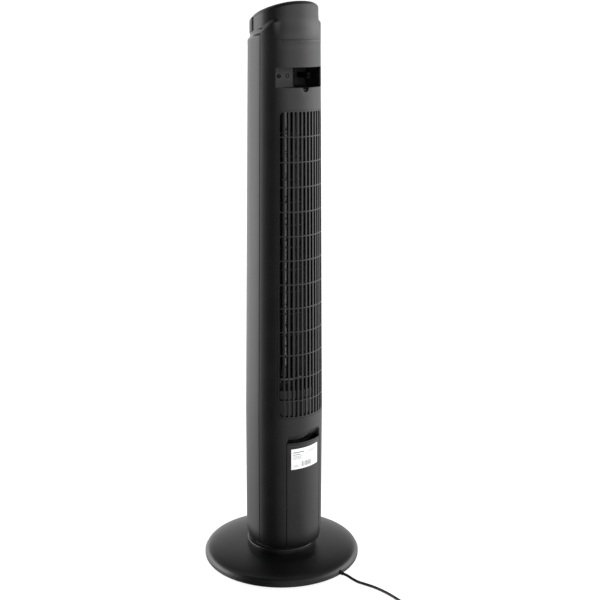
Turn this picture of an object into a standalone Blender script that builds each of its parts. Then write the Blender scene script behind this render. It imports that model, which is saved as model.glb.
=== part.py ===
"""A tall oscillating tower fan on a round base, built as its separate pieces.

Metres, +Z up. The origin is on the floor under the swivel axis. The intake grille, the carrying
handle and the service cover are on the rear, +Y, and the air outlet is on the front, -Y.
Angles round the column are in degrees from the rear, positive towards -X.
"""

import math

import bmesh
import bpy
from mathutils import Matrix, Vector

# Column: a slightly tapered round tower whose centre sits behind the swivel axis.
HEIGHT = 1.016
COLUMN_Y = 0.0074
TOP_RADIUS = 0.0611
TAPER = 0.0120
TAPER_END = 0.2990
WALL = 0.0025
GAP = 0.0003
SEGMENT_ANGLE = 10.0
TURN_STEPS = 32
SMALL_STEPS = 16

# The lower end of the shells is tucked in.
TUCK_TOP = 0.080
TUCK = 0.004
FRONT_BOTTOM = 0.056
REAR_BOTTOM = 0.041
REAR_SKIRT_ANGLE = 50.0

# The shells and the cap meet on one plane that falls towards the front.
SLOPE = 0.275
RIM_HEIGHT = 0.9757
SHELL_SEAM_ANGLE = 78.0
SEAM_GAP_ANGLE = 0.6

# Rear openings: half angle, bottom and top.
HANDLE_ANGLE = 49.0
HANDLE_BOTTOM = 0.8764
HANDLE_TOP = 0.9097
GRILLE_ANGLE = 45.0
GRILLE_BOTTOM = 0.2990
GRILLE_TOP = 0.8396
COVER_ANGLE = 31.5
COVER_TOP = 0.2520
SCOOP_TOP = 0.2800

# Grille lattice.
SLAT_STEP = 7.0
SLAT_COUNT = 11
SLAT_HALF_ANGLE = 1.43
RING_FIRST = 0.3314
RING_STEP = 0.0422
RING_COUNT = 12
RING_HEIGHT = 0.0018
GRILLE_BORDER = 0.003
GRILLE_WALL = 0.002

# Front outlet.
OUTLET_BOTTOM = 0.285
OUTLET_TOP = 0.880
OUTLET_BARS = 3

# Top cap: a crowned dome that leans a little more than the rim plane.
CAP_SLOPE = 0.33
CAP_RADIUS = 0.0575
CAP_PEAK = 1.0085
CAP_CROWN = 0.0118
CAP_FILLET = 0.004
CAP_SKIRT = 0.9686
CAP_WALL = 0.0022
FASCIA_ANGLE = 100.0
FASCIA_INSET = 0.0020
FASCIA_WALL = 0.0012
BUTTON_RADIUS = 0.0045
BUTTON_PITCH = 0.0145
BUTTON_BACK = 0.031
BUTTON_COUNT = 5
BUTTON_PROUD = 0.0010
BUTTON_LENGTH = 0.014
LENS_SIZE = (0.034, 0.013, 0.003)
LENS_FORWARD = 0.006
BOARD_SIZE = (0.074, 0.054, 0.0016)
BOARD_HEIGHT = 0.985

# Blower wheel and its motor, on the column's centre line.
WHEEL_RADIUS = 0.0365
WHEEL_DEPTH = 0.0075
WHEEL_BOTTOM = 0.3634
WHEEL_TOP = 0.8400
WHEEL_BLADES = 16
WHEEL_STAGES = 4
WHEEL_RING = 0.003
BLADE_SHARE = 0.22
SHAFT_RADIUS = 0.004
MOTOR_RADIUS = 0.033
MOTOR_BOTTOM = 0.2920
MOTOR_TOP = 0.3455
BULKHEAD_RADIUS = 0.0560
UPPER_PLATE_Z = 0.8500

# Base.
BASE_RADIUS = 0.1447
BASE_RIM_TOP = 0.0225
BASE_RIM_BOTTOM = 0.0052
BASE_TOP = 0.0295
COLLAR_RADIUS = 0.0645
COLLAR_TOP = 0.0385
FOOT_COUNT = 5
FOOT_RING = 0.118
FOOT_RADIUS = 0.009
FOOT_HEIGHT = 0.0032
SCREW_COUNT = 3
SCREW_RING = 0.085

# Swivel: the column turns on a post that carries the arm for the oscillation crank.
JOURNAL_RADIUS = 0.040
NECK_RADIUS = 0.058
NECK_BOTTOM = 0.0392
NECK_TOP = 0.064
CRANK_Y = -0.0174
CRANK_THROW = 0.0122

# Mains lead: leaves the rim beside the rear, runs away behind the fan and ends in a coil.
CORD_RADIUS = 0.0025
CORD_ANGLE = 12.0
RELIEF_END = 0.1520
CORD_HEIGHT = 0.0105
CORD_ROUTE = [
    (-0.0318, 0.1491, 0.0105),
    (-0.0347, 0.1555, 0.0092),
    (-0.0386, 0.1640, 0.0058),
    (-0.0430, 0.1750, 0.0030),
    (-0.0478, 0.1880, 0.0027),
    (-0.0530, 0.2020, 0.0027),
    (-0.0570, 0.2180, 0.0027),
    (-0.0594, 0.2350, 0.0027),
    (-0.0604, 0.2520, 0.0027),
    (-0.0603, 0.2700, 0.0027),
    (-0.0600, 0.2900, 0.0027),
    (-0.0600, 0.3070, 0.0027),
    (-0.0600, 0.3210, 0.0027),
]
CORD_STEPS = 3
COIL_CENTRE = (-0.0190, 0.3450)
COIL_INNER = 0.0162
COIL_OUTER = 0.0440
COIL_TOP = 0.0106
CORD_TAIL = [
    (0.0034, 0.3860, 0.0077),
    (0.0110, 0.3860, 0.0075),
    (0.0202, 0.3860, 0.0073),
]
PLUG_START = (0.0205, 0.3690)
PLUG_LENGTH = 0.037
PLUG_WIDTH = 0.034
PLUG_HEIGHT = 0.014
PIN_LENGTH = 0.019
PIN_RADIUS = 0.0024
PIN_SPREAD = 0.0095

COLOURS = {
    "satin_black": ("1B1B1D", 0.42, 0.0),
    "gloss_black": ("0B0B0D", 0.12, 0.0),
    "dark_grey": ("2A2A2C", 0.55, 0.0),
    "rubber": ("161616", 0.85, 0.0),
    "steel": ("8E9094", 0.35, 1.0),
    "cast_iron": ("3A3A3C", 0.65, 1.0),
    "copper": ("A8653A", 0.40, 1.0),
    "brass": ("B79A5B", 0.30, 1.0),
    "board_green": ("1E4A33", 0.50, 0.0),
    "label_white": ("EDEDEA", 0.55, 0.0),
    "button_grey": ("4A4B4E", 0.45, 0.0),
}


def clear_scene():
    for obj in list(bpy.data.objects):
        bpy.data.objects.remove(obj, do_unlink=True)


def make_collection(name):
    group = bpy.data.collections.new(name)
    bpy.context.scene.collection.children.link(group)
    return group


def linear(channel):
    return channel / 12.92 if channel <= 0.04045 else ((channel + 0.055) / 1.055) ** 2.4


def make_material(name):
    hex_code, roughness, metallic = COLOURS[name]
    colour = [linear(int(hex_code[i:i + 2], 16) / 255) for i in (0, 2, 4)]
    material = bpy.data.materials.new(name)
    material.use_nodes = True
    shader = material.node_tree.nodes["Principled BSDF"]
    shader.inputs["Base Color"].default_value = (*colour, 1.0)
    shader.inputs["Roughness"].default_value = roughness
    shader.inputs["Metallic"].default_value = metallic
    return material


def place(name, mesh, material):
    """A named sub-part made of a mesh."""
    obj = bpy.data.objects.new(name, mesh)
    PARTS.objects.link(obj)
    obj.data.materials.append(MATERIALS[material])
    return obj


def mesh_from(bm, name):
    mesh = bpy.data.meshes.new(name)
    bm.to_mesh(mesh)
    bm.free()
    return mesh


def cylinder_mesh(name, radius, low, high, steps=SMALL_STEPS, top_radius=None):
    bm = bmesh.new()
    end = radius if top_radius is None else top_radius
    sizes = {"radius1": radius, "radius2": end, "depth": high - low}
    bmesh.ops.create_cone(bm, cap_ends=True, segments=steps, **sizes)
    bmesh.ops.translate(bm, verts=bm.verts, vec=(0, 0, (low + high) / 2))
    return mesh_from(bm, name)


def cylinder(name, radius, low, high, material, centre=(0, 0), steps=SMALL_STEPS):
    obj = place(name, cylinder_mesh(name, radius, low, high, steps), material)
    obj.location = (centre[0], centre[1], 0)
    return obj


def block(name, size, centre, material, rotation=None):
    bm = bmesh.new()
    bmesh.ops.create_cube(bm, size=1.0)
    bmesh.ops.scale(bm, verts=bm.verts, vec=size)
    obj = place(name, mesh_from(bm, name), material)
    obj.location = centre
    if rotation:
        obj.rotation_euler = rotation
    return obj


def turned(name, profile, material, centre=(0, 0), steps=TURN_STEPS, closed=True):
    """A profile of (radius, height) points, turned about a vertical axis at the centre."""
    mesh = bpy.data.meshes.new(name)
    count = len(profile)
    edges = [(i, (i + 1) % count) for i in range(count if closed else count - 1)]
    mesh.from_pydata([(r, 0, z) for r, z in profile], edges, [])
    obj = place(name, mesh, material)
    obj.location = (centre[0], centre[1], 0)
    screw = obj.modifiers.new("turn", "SCREW")
    screw.steps = steps
    screw.render_steps = steps
    screw.use_merge_vertices = True
    screw.merge_threshold = 0.00001
    screw.use_smooth_shade = True
    return obj


def ring(name, inner, outer, low, high, material, centre=(0, 0), steps=TURN_STEPS):
    profile = [(outer, high), (outer, low), (inner, low), (inner, high)]
    return turned(name, profile, material, centre, steps)


def bake(obj):
    """Turns an object's modifiers into its own mesh."""
    graph = bpy.context.evaluated_depsgraph_get()
    graph.update()
    baked = bpy.data.meshes.new_from_object(obj.evaluated_get(graph))
    obj.modifiers.clear()
    obj.data = baked
    return obj


def cutter(name, mesh, centre=(0, 0, 0), rotation=None):
    obj = bpy.data.objects.new(name, mesh)
    CUTTERS.objects.link(obj)
    obj.location = centre
    if rotation:
        obj.rotation_euler = rotation
    obj.hide_render = True
    obj.display_type = "WIRE"
    return obj


def box_cutter(name, low, high):
    bm = bmesh.new()
    bmesh.ops.create_cube(bm, size=1.0)
    size = [b - a for a, b in zip(low, high)]
    bmesh.ops.scale(bm, verts=bm.verts, vec=size)
    return cutter(name, mesh_from(bm, name), [(a + b) / 2 for a, b in zip(low, high)])


def boolean(obj, tool, operation="DIFFERENCE"):
    cut = obj.modifiers.new(tool.name, "BOOLEAN")
    cut.operation = operation
    cut.solver = "EXACT"
    cut.object = tool


def column_radius(z):
    """The shells' outer radius, with the tuck at the lower end."""
    fall = min(max((TUCK_TOP - z) / (TUCK_TOP - FRONT_BOTTOM), 0.0), 1.0)
    return TOP_RADIUS + TAPER * (HEIGHT - max(z, TAPER_END)) - TUCK * fall * fall


def column_point(angle, z, inset=0.0):
    radius = column_radius(z) - inset
    turn = math.radians(angle)
    return Vector((-radius * math.sin(turn), COLUMN_Y + radius * math.cos(turn), z))


def rim(angle):
    """Height of the plane where the shells end and the cap begins."""
    return RIM_HEIGHT + SLOPE * TOP_RADIUS * math.cos(math.radians(angle))


def divide(breaks, largest):
    """The break values with even steps added between them, none larger than given."""
    values = sorted(set(breaks))
    result = [values[0]]
    for low, high in zip(values, values[1:]):
        count = max(1, math.ceil((high - low) / largest - 1e-6))
        result += [low + (high - low) * (i + 1) / count for i in range(count)]
    return result


def grid_mesh(name, columns, rows, position, keep):
    """A grid with one cell between neighbouring values, bent into shape by position(column, row)."""
    bm = bmesh.new()
    across = len(columns) - 1
    up = len(rows) - 1
    bmesh.ops.create_grid(bm, x_segments=across, y_segments=up, size=1.0)
    cells = {}
    for face in bm.faces:
        middle = face.calc_center_median()
        cells[face] = (int((middle.x + 1) / 2 * across), int((middle.y + 1) / 2 * up))
    for vert in bm.verts:
        i = round((vert.co.x + 1) / 2 * across)
        j = round((vert.co.y + 1) / 2 * up)
        vert.co = position(columns[i], rows[j])
    gone = [face for face, (i, j) in cells.items() if not keep(i, j)]
    bmesh.ops.delete(bm, geom=gone, context="FACES")
    bmesh.ops.remove_doubles(bm, verts=bm.verts, dist=0.00001)
    return mesh_from(bm, name)


def solidify(obj, thickness):
    """Gives an open surface its wall, on the side away from its normals."""
    wall = obj.modifiers.new("wall", "SOLIDIFY")
    wall.thickness = thickness
    wall.offset = -1.0
    wall.use_even_offset = True


def column_panel(name, angles, heights, openings, material, inset=0.0, wall=WALL, top=None):
    """A panel of the round column. Openings are (low angle, high angle, low z, high z)."""
    columns = divide(list(angles) + [a for o in openings for a in o[:2]], SEGMENT_ANGLE)
    rows = sorted(set(list(heights) + [z for o in openings for z in o[2:]]))

    def position(angle, z):
        height = top(angle) if top and z == rows[-1] else z
        return column_point(angle, height, inset)

    def keep(i, j):
        angle = (columns[i] + columns[i + 1]) / 2
        z = (rows[j] + rows[j + 1]) / 2
        return not any(o[0] < angle < o[1] and o[2] < z < o[3] for o in openings)

    obj = place(name, grid_mesh(name, columns, rows, position, keep), material)
    solidify(obj, wall)
    return obj


def lattice(name, middle, half_angle, low, high, bars, material):
    """A curved grille: upright slats crossed by thin rings, inside a narrow border."""
    slats = [SLAT_STEP * (k - (SLAT_COUNT - 1) / 2) for k in range(SLAT_COUNT)]
    columns = [-half_angle, -half_angle + SLAT_HALF_ANGLE]
    for slat in slats:
        columns += [slat - SLAT_HALF_ANGLE, slat + SLAT_HALF_ANGLE]
    columns += [half_angle - SLAT_HALF_ANGLE, half_angle]
    columns = [middle + c for c in columns]
    rows = [low, low + GRILLE_BORDER]
    for z in bars:
        rows += [z - RING_HEIGHT / 2, z + RING_HEIGHT / 2]
    rows += [high - GRILLE_BORDER, high]

    def keep(i, j):
        return i % 2 == 0 or j % 2 == 0

    mesh = grid_mesh(name, columns, rows, lambda a, z: column_point(a, z, GAP), keep)
    obj = place(name, mesh, material)
    solidify(obj, GRILLE_WALL)
    return obj


def make_base():
    wall_inner = BASE_RADIUS - WALL
    cover = [
        (COLLAR_RADIUS - 0.0175, BASE_TOP),
        (0.070, BASE_TOP),
        (0.126, 0.0250),
        (0.1375, BASE_RIM_TOP),
        (0.1420, 0.0195),
        (BASE_RADIUS, 0.0150),
        (BASE_RADIUS, 0.0075),
        (BASE_RADIUS - 0.0012, BASE_RIM_BOTTOM),
        (wall_inner - 0.0006, BASE_RIM_BOTTOM),
        (wall_inner, 0.0150),
        (wall_inner - 0.0030, 0.0185),
        (0.125, 0.0224),
        (0.070, BASE_TOP - WALL),
        (COLLAR_RADIUS - 0.0175, BASE_TOP - WALL),
    ]
    base = turned("base_cover", cover, "satin_black", steps=44)
    exit_turn = math.radians(CORD_ANGLE)
    relief_hole = cylinder_mesh("relief_hole", 0.0048, 0.130, 0.160)
    tilt = Matrix.Rotation(-math.pi / 2, 4, "X")
    relief_hole.transform(Matrix.Rotation(exit_turn, 4, "Z") @ tilt)
    boolean(base, cutter("relief_hole", relief_hole, (0, 0, CORD_HEIGHT)))

    plate = ring("base_plate", 0.020, 0.1370, 0.0035, 0.0055, "dark_grey")
    weight = ring("base_weight", 0.052, 0.112, 0.0060, 0.0120, "cast_iron")
    for k in range(SCREW_COUNT):
        turn = math.tau * (k + 0.5) / SCREW_COUNT
        spot = (SCREW_RING * math.cos(turn), SCREW_RING * math.sin(turn))
        hole = cutter(f"screw_hole_{k + 1}", cylinder_mesh("screw_hole", 0.0025, 0.002, 0.02), (*spot, 0))
        boolean(plate, hole)
        boolean(weight, hole)
        shank = [(0, 0.0112), (0.0019, 0.0112), (0.0019, 0.0032)]
        screw = shank + [(0.0042, 0.0032), (0.0036, 0.0012), (0, 0.0012)]
        turned(f"base_screw_{k + 1}", screw, "steel", spot, 12, closed=False)
    for k in range(FOOT_COUNT):
        turn = math.pi / 2 + math.tau * (k + 0.5) / FOOT_COUNT
        spot = (FOOT_RING * math.cos(turn), FOOT_RING * math.sin(turn))
        cylinder(f"foot_{k + 1}", FOOT_RADIUS, 0, FOOT_HEIGHT, "rubber", spot)

    collar = [
        (COLLAR_RADIUS - 0.0015, COLLAR_TOP),
        (COLLAR_RADIUS, COLLAR_TOP - 0.0020),
        (COLLAR_RADIUS, BASE_TOP + GAP),
        (COLLAR_RADIUS - 0.0170, BASE_TOP + GAP),
        (COLLAR_RADIUS - 0.0170, COLLAR_TOP),
    ]
    turned("swivel_collar", collar, "satin_black")
    ring("swivel_bearing", JOURNAL_RADIUS + 0.0004, 0.0465, 0.0180, 0.0380, "dark_grey")
    post = [
        (0, 0.0664),
        (0.0090, 0.0664),
        (0.0090, 0.0100),
        (0.0185, 0.0085),
        (0.0185, 0.0060),
        (0, 0.0060),
    ]
    turned("swivel_post", post, "dark_grey", steps=20, closed=False)
    arm = block("drive_arm", (0.018, 0.050, 0.003), (0, -0.0115, 0.0682), "steel")
    boolean(arm, box_cutter("arm_slot", (-0.0038, -0.0330, 0.060), (0.0038, -0.0140, 0.075)))


def make_cord():
    turn = math.radians(CORD_ANGLE)
    relief = cylinder_mesh("strain_relief", 0.0044, 0.1280, RELIEF_END - GAP, 16, 0.0031)
    relief.transform(Matrix.Rotation(-math.pi / 2, 4, "X"))
    relief_object = place("strain_relief", relief, "rubber")
    relief_object.rotation_euler = (0, 0, turn)
    relief_object.location = (0, 0, CORD_HEIGHT)

    tube("cord", CORD_ROUTE)
    ring("cord_coil", COIL_INNER, COIL_OUTER, 0.0002, COIL_TOP, "rubber", COIL_CENTRE, 28)
    tube("cord_tail", CORD_TAIL)

    x, y = PLUG_START
    middle = PLUG_HEIGHT / 2 + GAP
    plug = block(
        "plug_body",
        (PLUG_LENGTH, PLUG_WIDTH, PLUG_HEIGHT),
        (x + PLUG_LENGTH / 2, y + PLUG_WIDTH / 2, middle),
        "rubber",
    )
    edge = plug.modifiers.new("edges", "BEVEL")
    edge.width = 0.003
    edge.segments = 2
    for side, offset in (("1", -PIN_SPREAD), ("2", PIN_SPREAD)):
        pin = cylinder_mesh(f"plug_pin_{side}", PIN_RADIUS, 0, PIN_LENGTH, 12)
        pin.transform(Matrix.Rotation(math.pi / 2, 4, "Y"))
        obj = place(f"plug_pin_{side}", pin, "brass")
        obj.location = (x + PLUG_LENGTH + GAP, y + PLUG_WIDTH / 2 + offset, middle)


def tube(name, route):
    """A stretch of the mains lead along a smooth curve through its route."""
    points = smooth_route([Vector(p) for p in route], CORD_STEPS)
    curve = bpy.data.curves.new(name, "CURVE")
    curve.dimensions = "3D"
    curve.bevel_depth = CORD_RADIUS
    curve.bevel_resolution = 2
    curve.use_fill_caps = True
    line = curve.splines.new("POLY")
    line.points.add(len(points) - 1)
    for spot, point in zip(line.points, points):
        spot.co = (*point, 1.0)
    PARTS.objects.link(bpy.data.objects.new(name, curve))
    curve.materials.append(MATERIALS["rubber"])


def smooth_route(points, steps):
    """Points on a smooth curve through the given ones."""
    ends = [2 * points[0] - points[1]] + points + [2 * points[-1] - points[-2]]
    result = [points[0]]
    for before, start, end, after in zip(ends, ends[1:], ends[2:], ends[3:]):
        for k in range(1, steps + 1):
            t = k / steps
            linear_part = (end - before) * t
            square_part = (2 * before - 5 * start + 4 * end - after) * t * t
            cube_part = (3 * start - before - 3 * end + after) * t ** 3
            result.append(start + (linear_part + square_part + cube_part) / 2)
    return result


def make_swivel():
    neck = [
        (NECK_RADIUS, NECK_TOP),
        (NECK_RADIUS, NECK_BOTTOM),
        (0, NECK_BOTTOM),
    ]
    inside = [
        (0, NECK_BOTTOM + 0.003),
        (NECK_RADIUS - WALL, NECK_BOTTOM + 0.003),
        (NECK_RADIUS - WALL, NECK_TOP),
    ]
    obj = turned("neck", inside + neck, "dark_grey", (0, COLUMN_Y), closed=False)
    boolean(obj, cutter("post_hole", cylinder_mesh("post_hole", 0.0140, 0.030, 0.050)))
    ring("swivel_journal", 0.0220, JOURNAL_RADIUS, 0.0180, NECK_BOTTOM - GAP, "dark_grey", steps=32)
    ring("swivel_retainer", 0.0225, 0.0440, 0.0148, 0.0177, "steel", steps=32)

    spot = (0, CRANK_Y)
    cylinder("crank_disc", 0.0160, 0.0715, 0.0745, "steel", spot, 24)
    cylinder("crank_pin", 0.0025, 0.0675, 0.0712, "steel", (0, CRANK_Y - CRANK_THROW), 12)
    cylinder("oscillation_motor", 0.0240, 0.0760, 0.0960, "steel", spot, 28)
    ring("oscillation_bracket", 0.0100, BULKHEAD_RADIUS, 0.0964, 0.0984, "dark_grey", (0, COLUMN_Y), 32)


def make_shells():
    seam = SHELL_SEAM_ANGLE
    mid_tuck = (TUCK_TOP + FRONT_BOTTOM) / 2
    front_span = (seam + SEAM_GAP_ANGLE, 360 - seam - SEAM_GAP_ANGLE)
    half_angle = GRILLE_ANGLE + SEAM_GAP_ANGLE
    outlet = (180 - half_angle, 180 + half_angle, OUTLET_BOTTOM - GAP, OUTLET_TOP + GAP)
    column_panel(
        "front_shell",
        front_span,
        (FRONT_BOTTOM, mid_tuck, TUCK_TOP, TAPER_END, 1.0),
        [outlet],
        "satin_black",
        top=rim,
    )
    grille = GRILLE_ANGLE + SEAM_GAP_ANGLE
    cover = COVER_ANGLE + SEAM_GAP_ANGLE
    openings = [
        (-HANDLE_ANGLE, HANDLE_ANGLE, HANDLE_BOTTOM, HANDLE_TOP),
        (-grille, grille, GRILLE_BOTTOM - GAP, GRILLE_TOP + GAP),
        (-cover, cover, REAR_BOTTOM, SCOOP_TOP),
        (-seam, -REAR_SKIRT_ANGLE, REAR_BOTTOM, FRONT_BOTTOM),
        (REAR_SKIRT_ANGLE, seam, REAR_BOTTOM, FRONT_BOTTOM),
    ]
    column_panel(
        "rear_shell",
        (-seam, seam),
        (REAR_BOTTOM, FRONT_BOTTOM, mid_tuck, TUCK_TOP, TAPER_END, 1.0),
        openings,
        "satin_black",
        top=rim,
    )
    bars = [RING_FIRST + RING_STEP * k for k in range(RING_COUNT)]
    lattice("rear_grille", 0, GRILLE_ANGLE, GRILLE_BOTTOM, GRILLE_TOP, bars, "satin_black")
    spacing = (OUTLET_TOP - OUTLET_BOTTOM) / (OUTLET_BARS + 1)
    bars = [OUTLET_BOTTOM + spacing * (k + 1) for k in range(OUTLET_BARS)]
    lattice("front_grille", 180, GRILLE_ANGLE, OUTLET_BOTTOM, OUTLET_TOP, bars, "satin_black")
    column_panel(
        "lower_cover",
        (-COVER_ANGLE, COVER_ANGLE),
        (REAR_BOTTOM, FRONT_BOTTOM, mid_tuck, TUCK_TOP, COVER_TOP),
        [],
        "satin_black",
    )
    column_panel(
        "scoop_wall",
        (-38, 38),
        (COVER_TOP - 0.012, SCOOP_TOP + 0.006),
        [],
        "dark_grey",
        inset=0.0145,
        wall=0.002,
    )
    column_panel(
        "rating_label",
        (-25.5, 23.5),
        (0.2020, 0.2410),
        [],
        "label_white",
        inset=-0.0007,
        wall=0.0004,
    )


def make_handle():
    """A cup behind the hand opening, its mouth following the inside of the shell."""
    depth_back = 0.034
    top = HANDLE_TOP + 0.008
    bottom = HANDLE_BOTTOM - 0.005
    half = 0.0490
    low = (-half, depth_back, bottom)
    high = (half, 0.080, top)
    size = [b - a for a, b in zip(low, high)]
    cup = block("handle_pocket", size, [(a + b) / 2 for a, b in zip(low, high)], "dark_grey")
    hollow_low = (-half + 0.002, depth_back + 0.002, bottom + 0.002)
    hollow_high = (half - 0.002, 0.085, top - 0.002)
    boolean(cup, box_cutter("cup_hollow", hollow_low, hollow_high))
    inner = column_radius(HANDLE_TOP) - WALL - 0.0009
    skin = cylinder_mesh("cup_mouth", inner, bottom - 0.01, top + 0.01, 72)
    boolean(cup, cutter("cup_mouth", skin, (0, COLUMN_Y, 0)), "INTERSECT")
    for name, x in (("handle_screw_left", 0.031), ("handle_screw_right", -0.031)):
        head = cylinder_mesh(name, 0.0030, 0, 0.0018, 12)
        head.transform(Matrix.Rotation(-math.pi / 2, 4, "X"))
        obj = place(name, head, "steel")
        obj.location = (x, depth_back + 0.002 + GAP, 0.8945)


def dome(radius):
    """Height of the cap's crown before it leans."""
    return CAP_PEAK - CAP_CROWN * (radius / CAP_RADIUS) ** 2


def lean(obj):
    """Leans a piece of the cap towards the front."""
    for vert in obj.data.vertices:
        vert.co.z += CAP_SLOPE * (vert.co.y + obj.location.y - COLUMN_Y)


def make_cap():
    edge = CAP_RADIUS - CAP_FILLET
    outer = [(CAP_RADIUS * k / 4, dome(CAP_RADIUS * k / 4)) for k in range(4)]
    outer.append((edge, dome(edge)))
    outer += [(CAP_RADIUS - 0.0012, dome(edge) - 0.0018), (CAP_RADIUS, dome(edge) - 0.0048)]
    inner_radius = CAP_RADIUS - CAP_WALL
    inner = [(inner_radius, CAP_SKIRT), (inner_radius, dome(edge) - 0.0060)]
    inner += [(CAP_RADIUS * k / 4, dome(CAP_RADIUS * k / 4) - CAP_WALL) for k in (2, 0)]
    profile = outer + [(CAP_RADIUS, CAP_SKIRT)] + inner
    cap = turned("top_cap", profile, "satin_black", (0, COLUMN_Y), 36, closed=False)
    bake(cap)
    lean(cap)

    tilt = math.atan(CAP_SLOPE)
    normal = Vector((0, -math.sin(tilt), math.cos(tilt)))
    for k in range(BUTTON_COUNT):
        x = BUTTON_PITCH * (k - (BUTTON_COUNT - 1) / 2)
        away = math.hypot(x, BUTTON_BACK)
        spot = Vector((x, COLUMN_Y - BUTTON_BACK, dome(away) - CAP_SLOPE * BUTTON_BACK))
        hole = cylinder_mesh("button_hole", BUTTON_RADIUS + 0.0004, -0.010, 0.006, 12)
        boolean(cap, cutter(f"button_hole_{k + 1}", hole, spot, (tilt, 0, 0)))
        button = cylinder_mesh("button", BUTTON_RADIUS, BUTTON_PROUD - BUTTON_LENGTH, BUTTON_PROUD, 12)
        obj = place(f"button_{k + 1}", button, "button_grey")
        obj.location = spot
        obj.rotation_euler = (tilt, 0, 0)

    lens_spot = Vector((0, COLUMN_Y - LENS_FORWARD, dome(LENS_FORWARD) - CAP_SLOPE * LENS_FORWARD))
    bm = bmesh.new()
    bmesh.ops.create_cube(bm, size=1.0)
    window = [LENS_SIZE[0] + 0.0008, LENS_SIZE[1] + 0.0008, 0.012]
    bmesh.ops.scale(bm, verts=bm.verts, vec=window)
    boolean(cap, cutter("lens_window", mesh_from(bm, "lens_window"), lens_spot, (tilt, 0, 0)))
    block("display_lens", LENS_SIZE, lens_spot - 0.0012 * normal, "gloss_black", (tilt, 0, 0))
    board_spot = (0, COLUMN_Y, BOARD_HEIGHT)
    block("control_board", BOARD_SIZE, board_spot, "board_green", (tilt, 0, 0))

    def position(angle, z):
        spot = column_point(angle, rim(angle), FASCIA_INSET)
        return Vector((spot.x, spot.y, rim(angle) + z))

    columns = divide((FASCIA_ANGLE, 360 - FASCIA_ANGLE), SEGMENT_ANGLE)
    mesh = grid_mesh("front_fascia", columns, (GAP, 0.0175), position, lambda i, j: True)
    solidify(place("front_fascia", mesh, "gloss_black"), FASCIA_WALL)


def make_blower():
    centre = (0, COLUMN_Y)
    pitch = 360 / WHEEL_BLADES
    columns = []
    for k in range(WHEEL_BLADES):
        columns += [pitch * k, pitch * (k + BLADE_SHARE)]
    columns.append(360.0)
    stage = (WHEEL_TOP - WHEEL_BOTTOM - WHEEL_RING) / WHEEL_STAGES
    rows = []
    for k in range(WHEEL_STAGES + 1):
        rows += [WHEEL_BOTTOM + stage * k, WHEEL_BOTTOM + stage * k + WHEEL_RING]

    def position(angle, z):
        turn = math.radians(angle)
        return Vector((-WHEEL_RADIUS * math.sin(turn), WHEEL_RADIUS * math.cos(turn), z))

    def keep(i, j):
        return i % 2 == 0 or j % 2 == 0

    wheel = place("impeller", grid_mesh("impeller", columns, rows, position, keep), "dark_grey")
    wheel.location = (*centre, 0)
    solidify(wheel, WHEEL_DEPTH)

    bore = SHAFT_RADIUS + GAP
    hub_top = WHEEL_BOTTOM - GAP
    hub = [
        (WHEEL_RADIUS, hub_top),
        (WHEEL_RADIUS, hub_top - 0.0025),
        (0.0100, hub_top - 0.0025),
        (0.0100, hub_top - 0.0100),
        (bore, hub_top - 0.0100),
        (bore, hub_top),
    ]
    turned("impeller_hub", hub, "dark_grey", centre, 32)
    cap_low = WHEEL_TOP + GAP
    pin_top = UPPER_PLATE_Z + 0.010
    end = [
        (0, pin_top),
        (SHAFT_RADIUS, pin_top),
        (SHAFT_RADIUS, cap_low + 0.0025),
        (WHEEL_RADIUS, cap_low + 0.0025),
        (WHEEL_RADIUS, cap_low),
        (0, cap_low),
    ]
    turned("impeller_end_cap", end, "dark_grey", centre, 32, closed=False)
    plate_top = UPPER_PLATE_Z + 0.003
    ring("upper_bearing_plate", 0.0092, BULKHEAD_RADIUS, UPPER_PLATE_Z, plate_top, "dark_grey", centre)
    ring("upper_bush", bore, 0.0088, UPPER_PLATE_Z - 0.002, UPPER_PLATE_Z + 0.006, "brass", centre, 20)

    cylinder("motor_shaft", SHAFT_RADIUS, 0.2970, hub_top, "steel", centre)
    ring("motor_rotor", bore, 0.0170, 0.3020, 0.3330, "steel", centre, 24)
    ring("motor_stator", 0.0178, 0.0236, 0.3000, 0.3350, "copper", centre, 24)
    cavity = 0.0240
    housing = [
        (0, MOTOR_BOTTOM + 0.0025),
        (cavity, MOTOR_BOTTOM + 0.0025),
        (cavity, MOTOR_TOP - 0.0025),
        (0.0060, MOTOR_TOP - 0.0025),
        (0.0060, MOTOR_TOP),
        (MOTOR_RADIUS, MOTOR_TOP),
        (MOTOR_RADIUS, MOTOR_BOTTOM),
        (0, MOTOR_BOTTOM),
    ]
    turned("motor_housing", housing, "steel", centre, 32, closed=False)
    bracket_radius = BULKHEAD_RADIUS + 0.004
    ring("motor_bracket", 0.0115, bracket_radius, MOTOR_TOP + GAP, MOTOR_TOP + 0.0025, "dark_grey", centre)

    low = MOTOR_TOP + 0.004
    high = UPPER_PLATE_Z - 0.001
    volute("scroll_wall", 58, 128, 0.0400, 0.0545, low, high)
    volute("cutoff_tongue", -74, -58, 0.0430, 0.0395, low, high)


def volute(name, first, last, start_radius, end_radius, low, high):
    """An upright duct wall whose distance from the wheel's axis changes with the angle."""
    columns = divide((first, last), SEGMENT_ANGLE)

    def position(angle, z):
        share = (angle - first) / (last - first)
        radius = start_radius + (end_radius - start_radius) * share
        turn = math.radians(angle)
        return Vector((-radius * math.sin(turn), COLUMN_Y + radius * math.cos(turn), z))

    mesh = grid_mesh(name, columns, (low, high), position, lambda i, j: True)
    solidify(place(name, mesh, "dark_grey"), 0.0016)


clear_scene()
PARTS = make_collection("tower_fan")
CUTTERS = make_collection("cutters")
MATERIALS = {name: make_material(name) for name in COLOURS}
make_base()
make_cord()
make_swivel()
make_shells()
make_handle()
make_cap()
make_blower()
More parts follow.
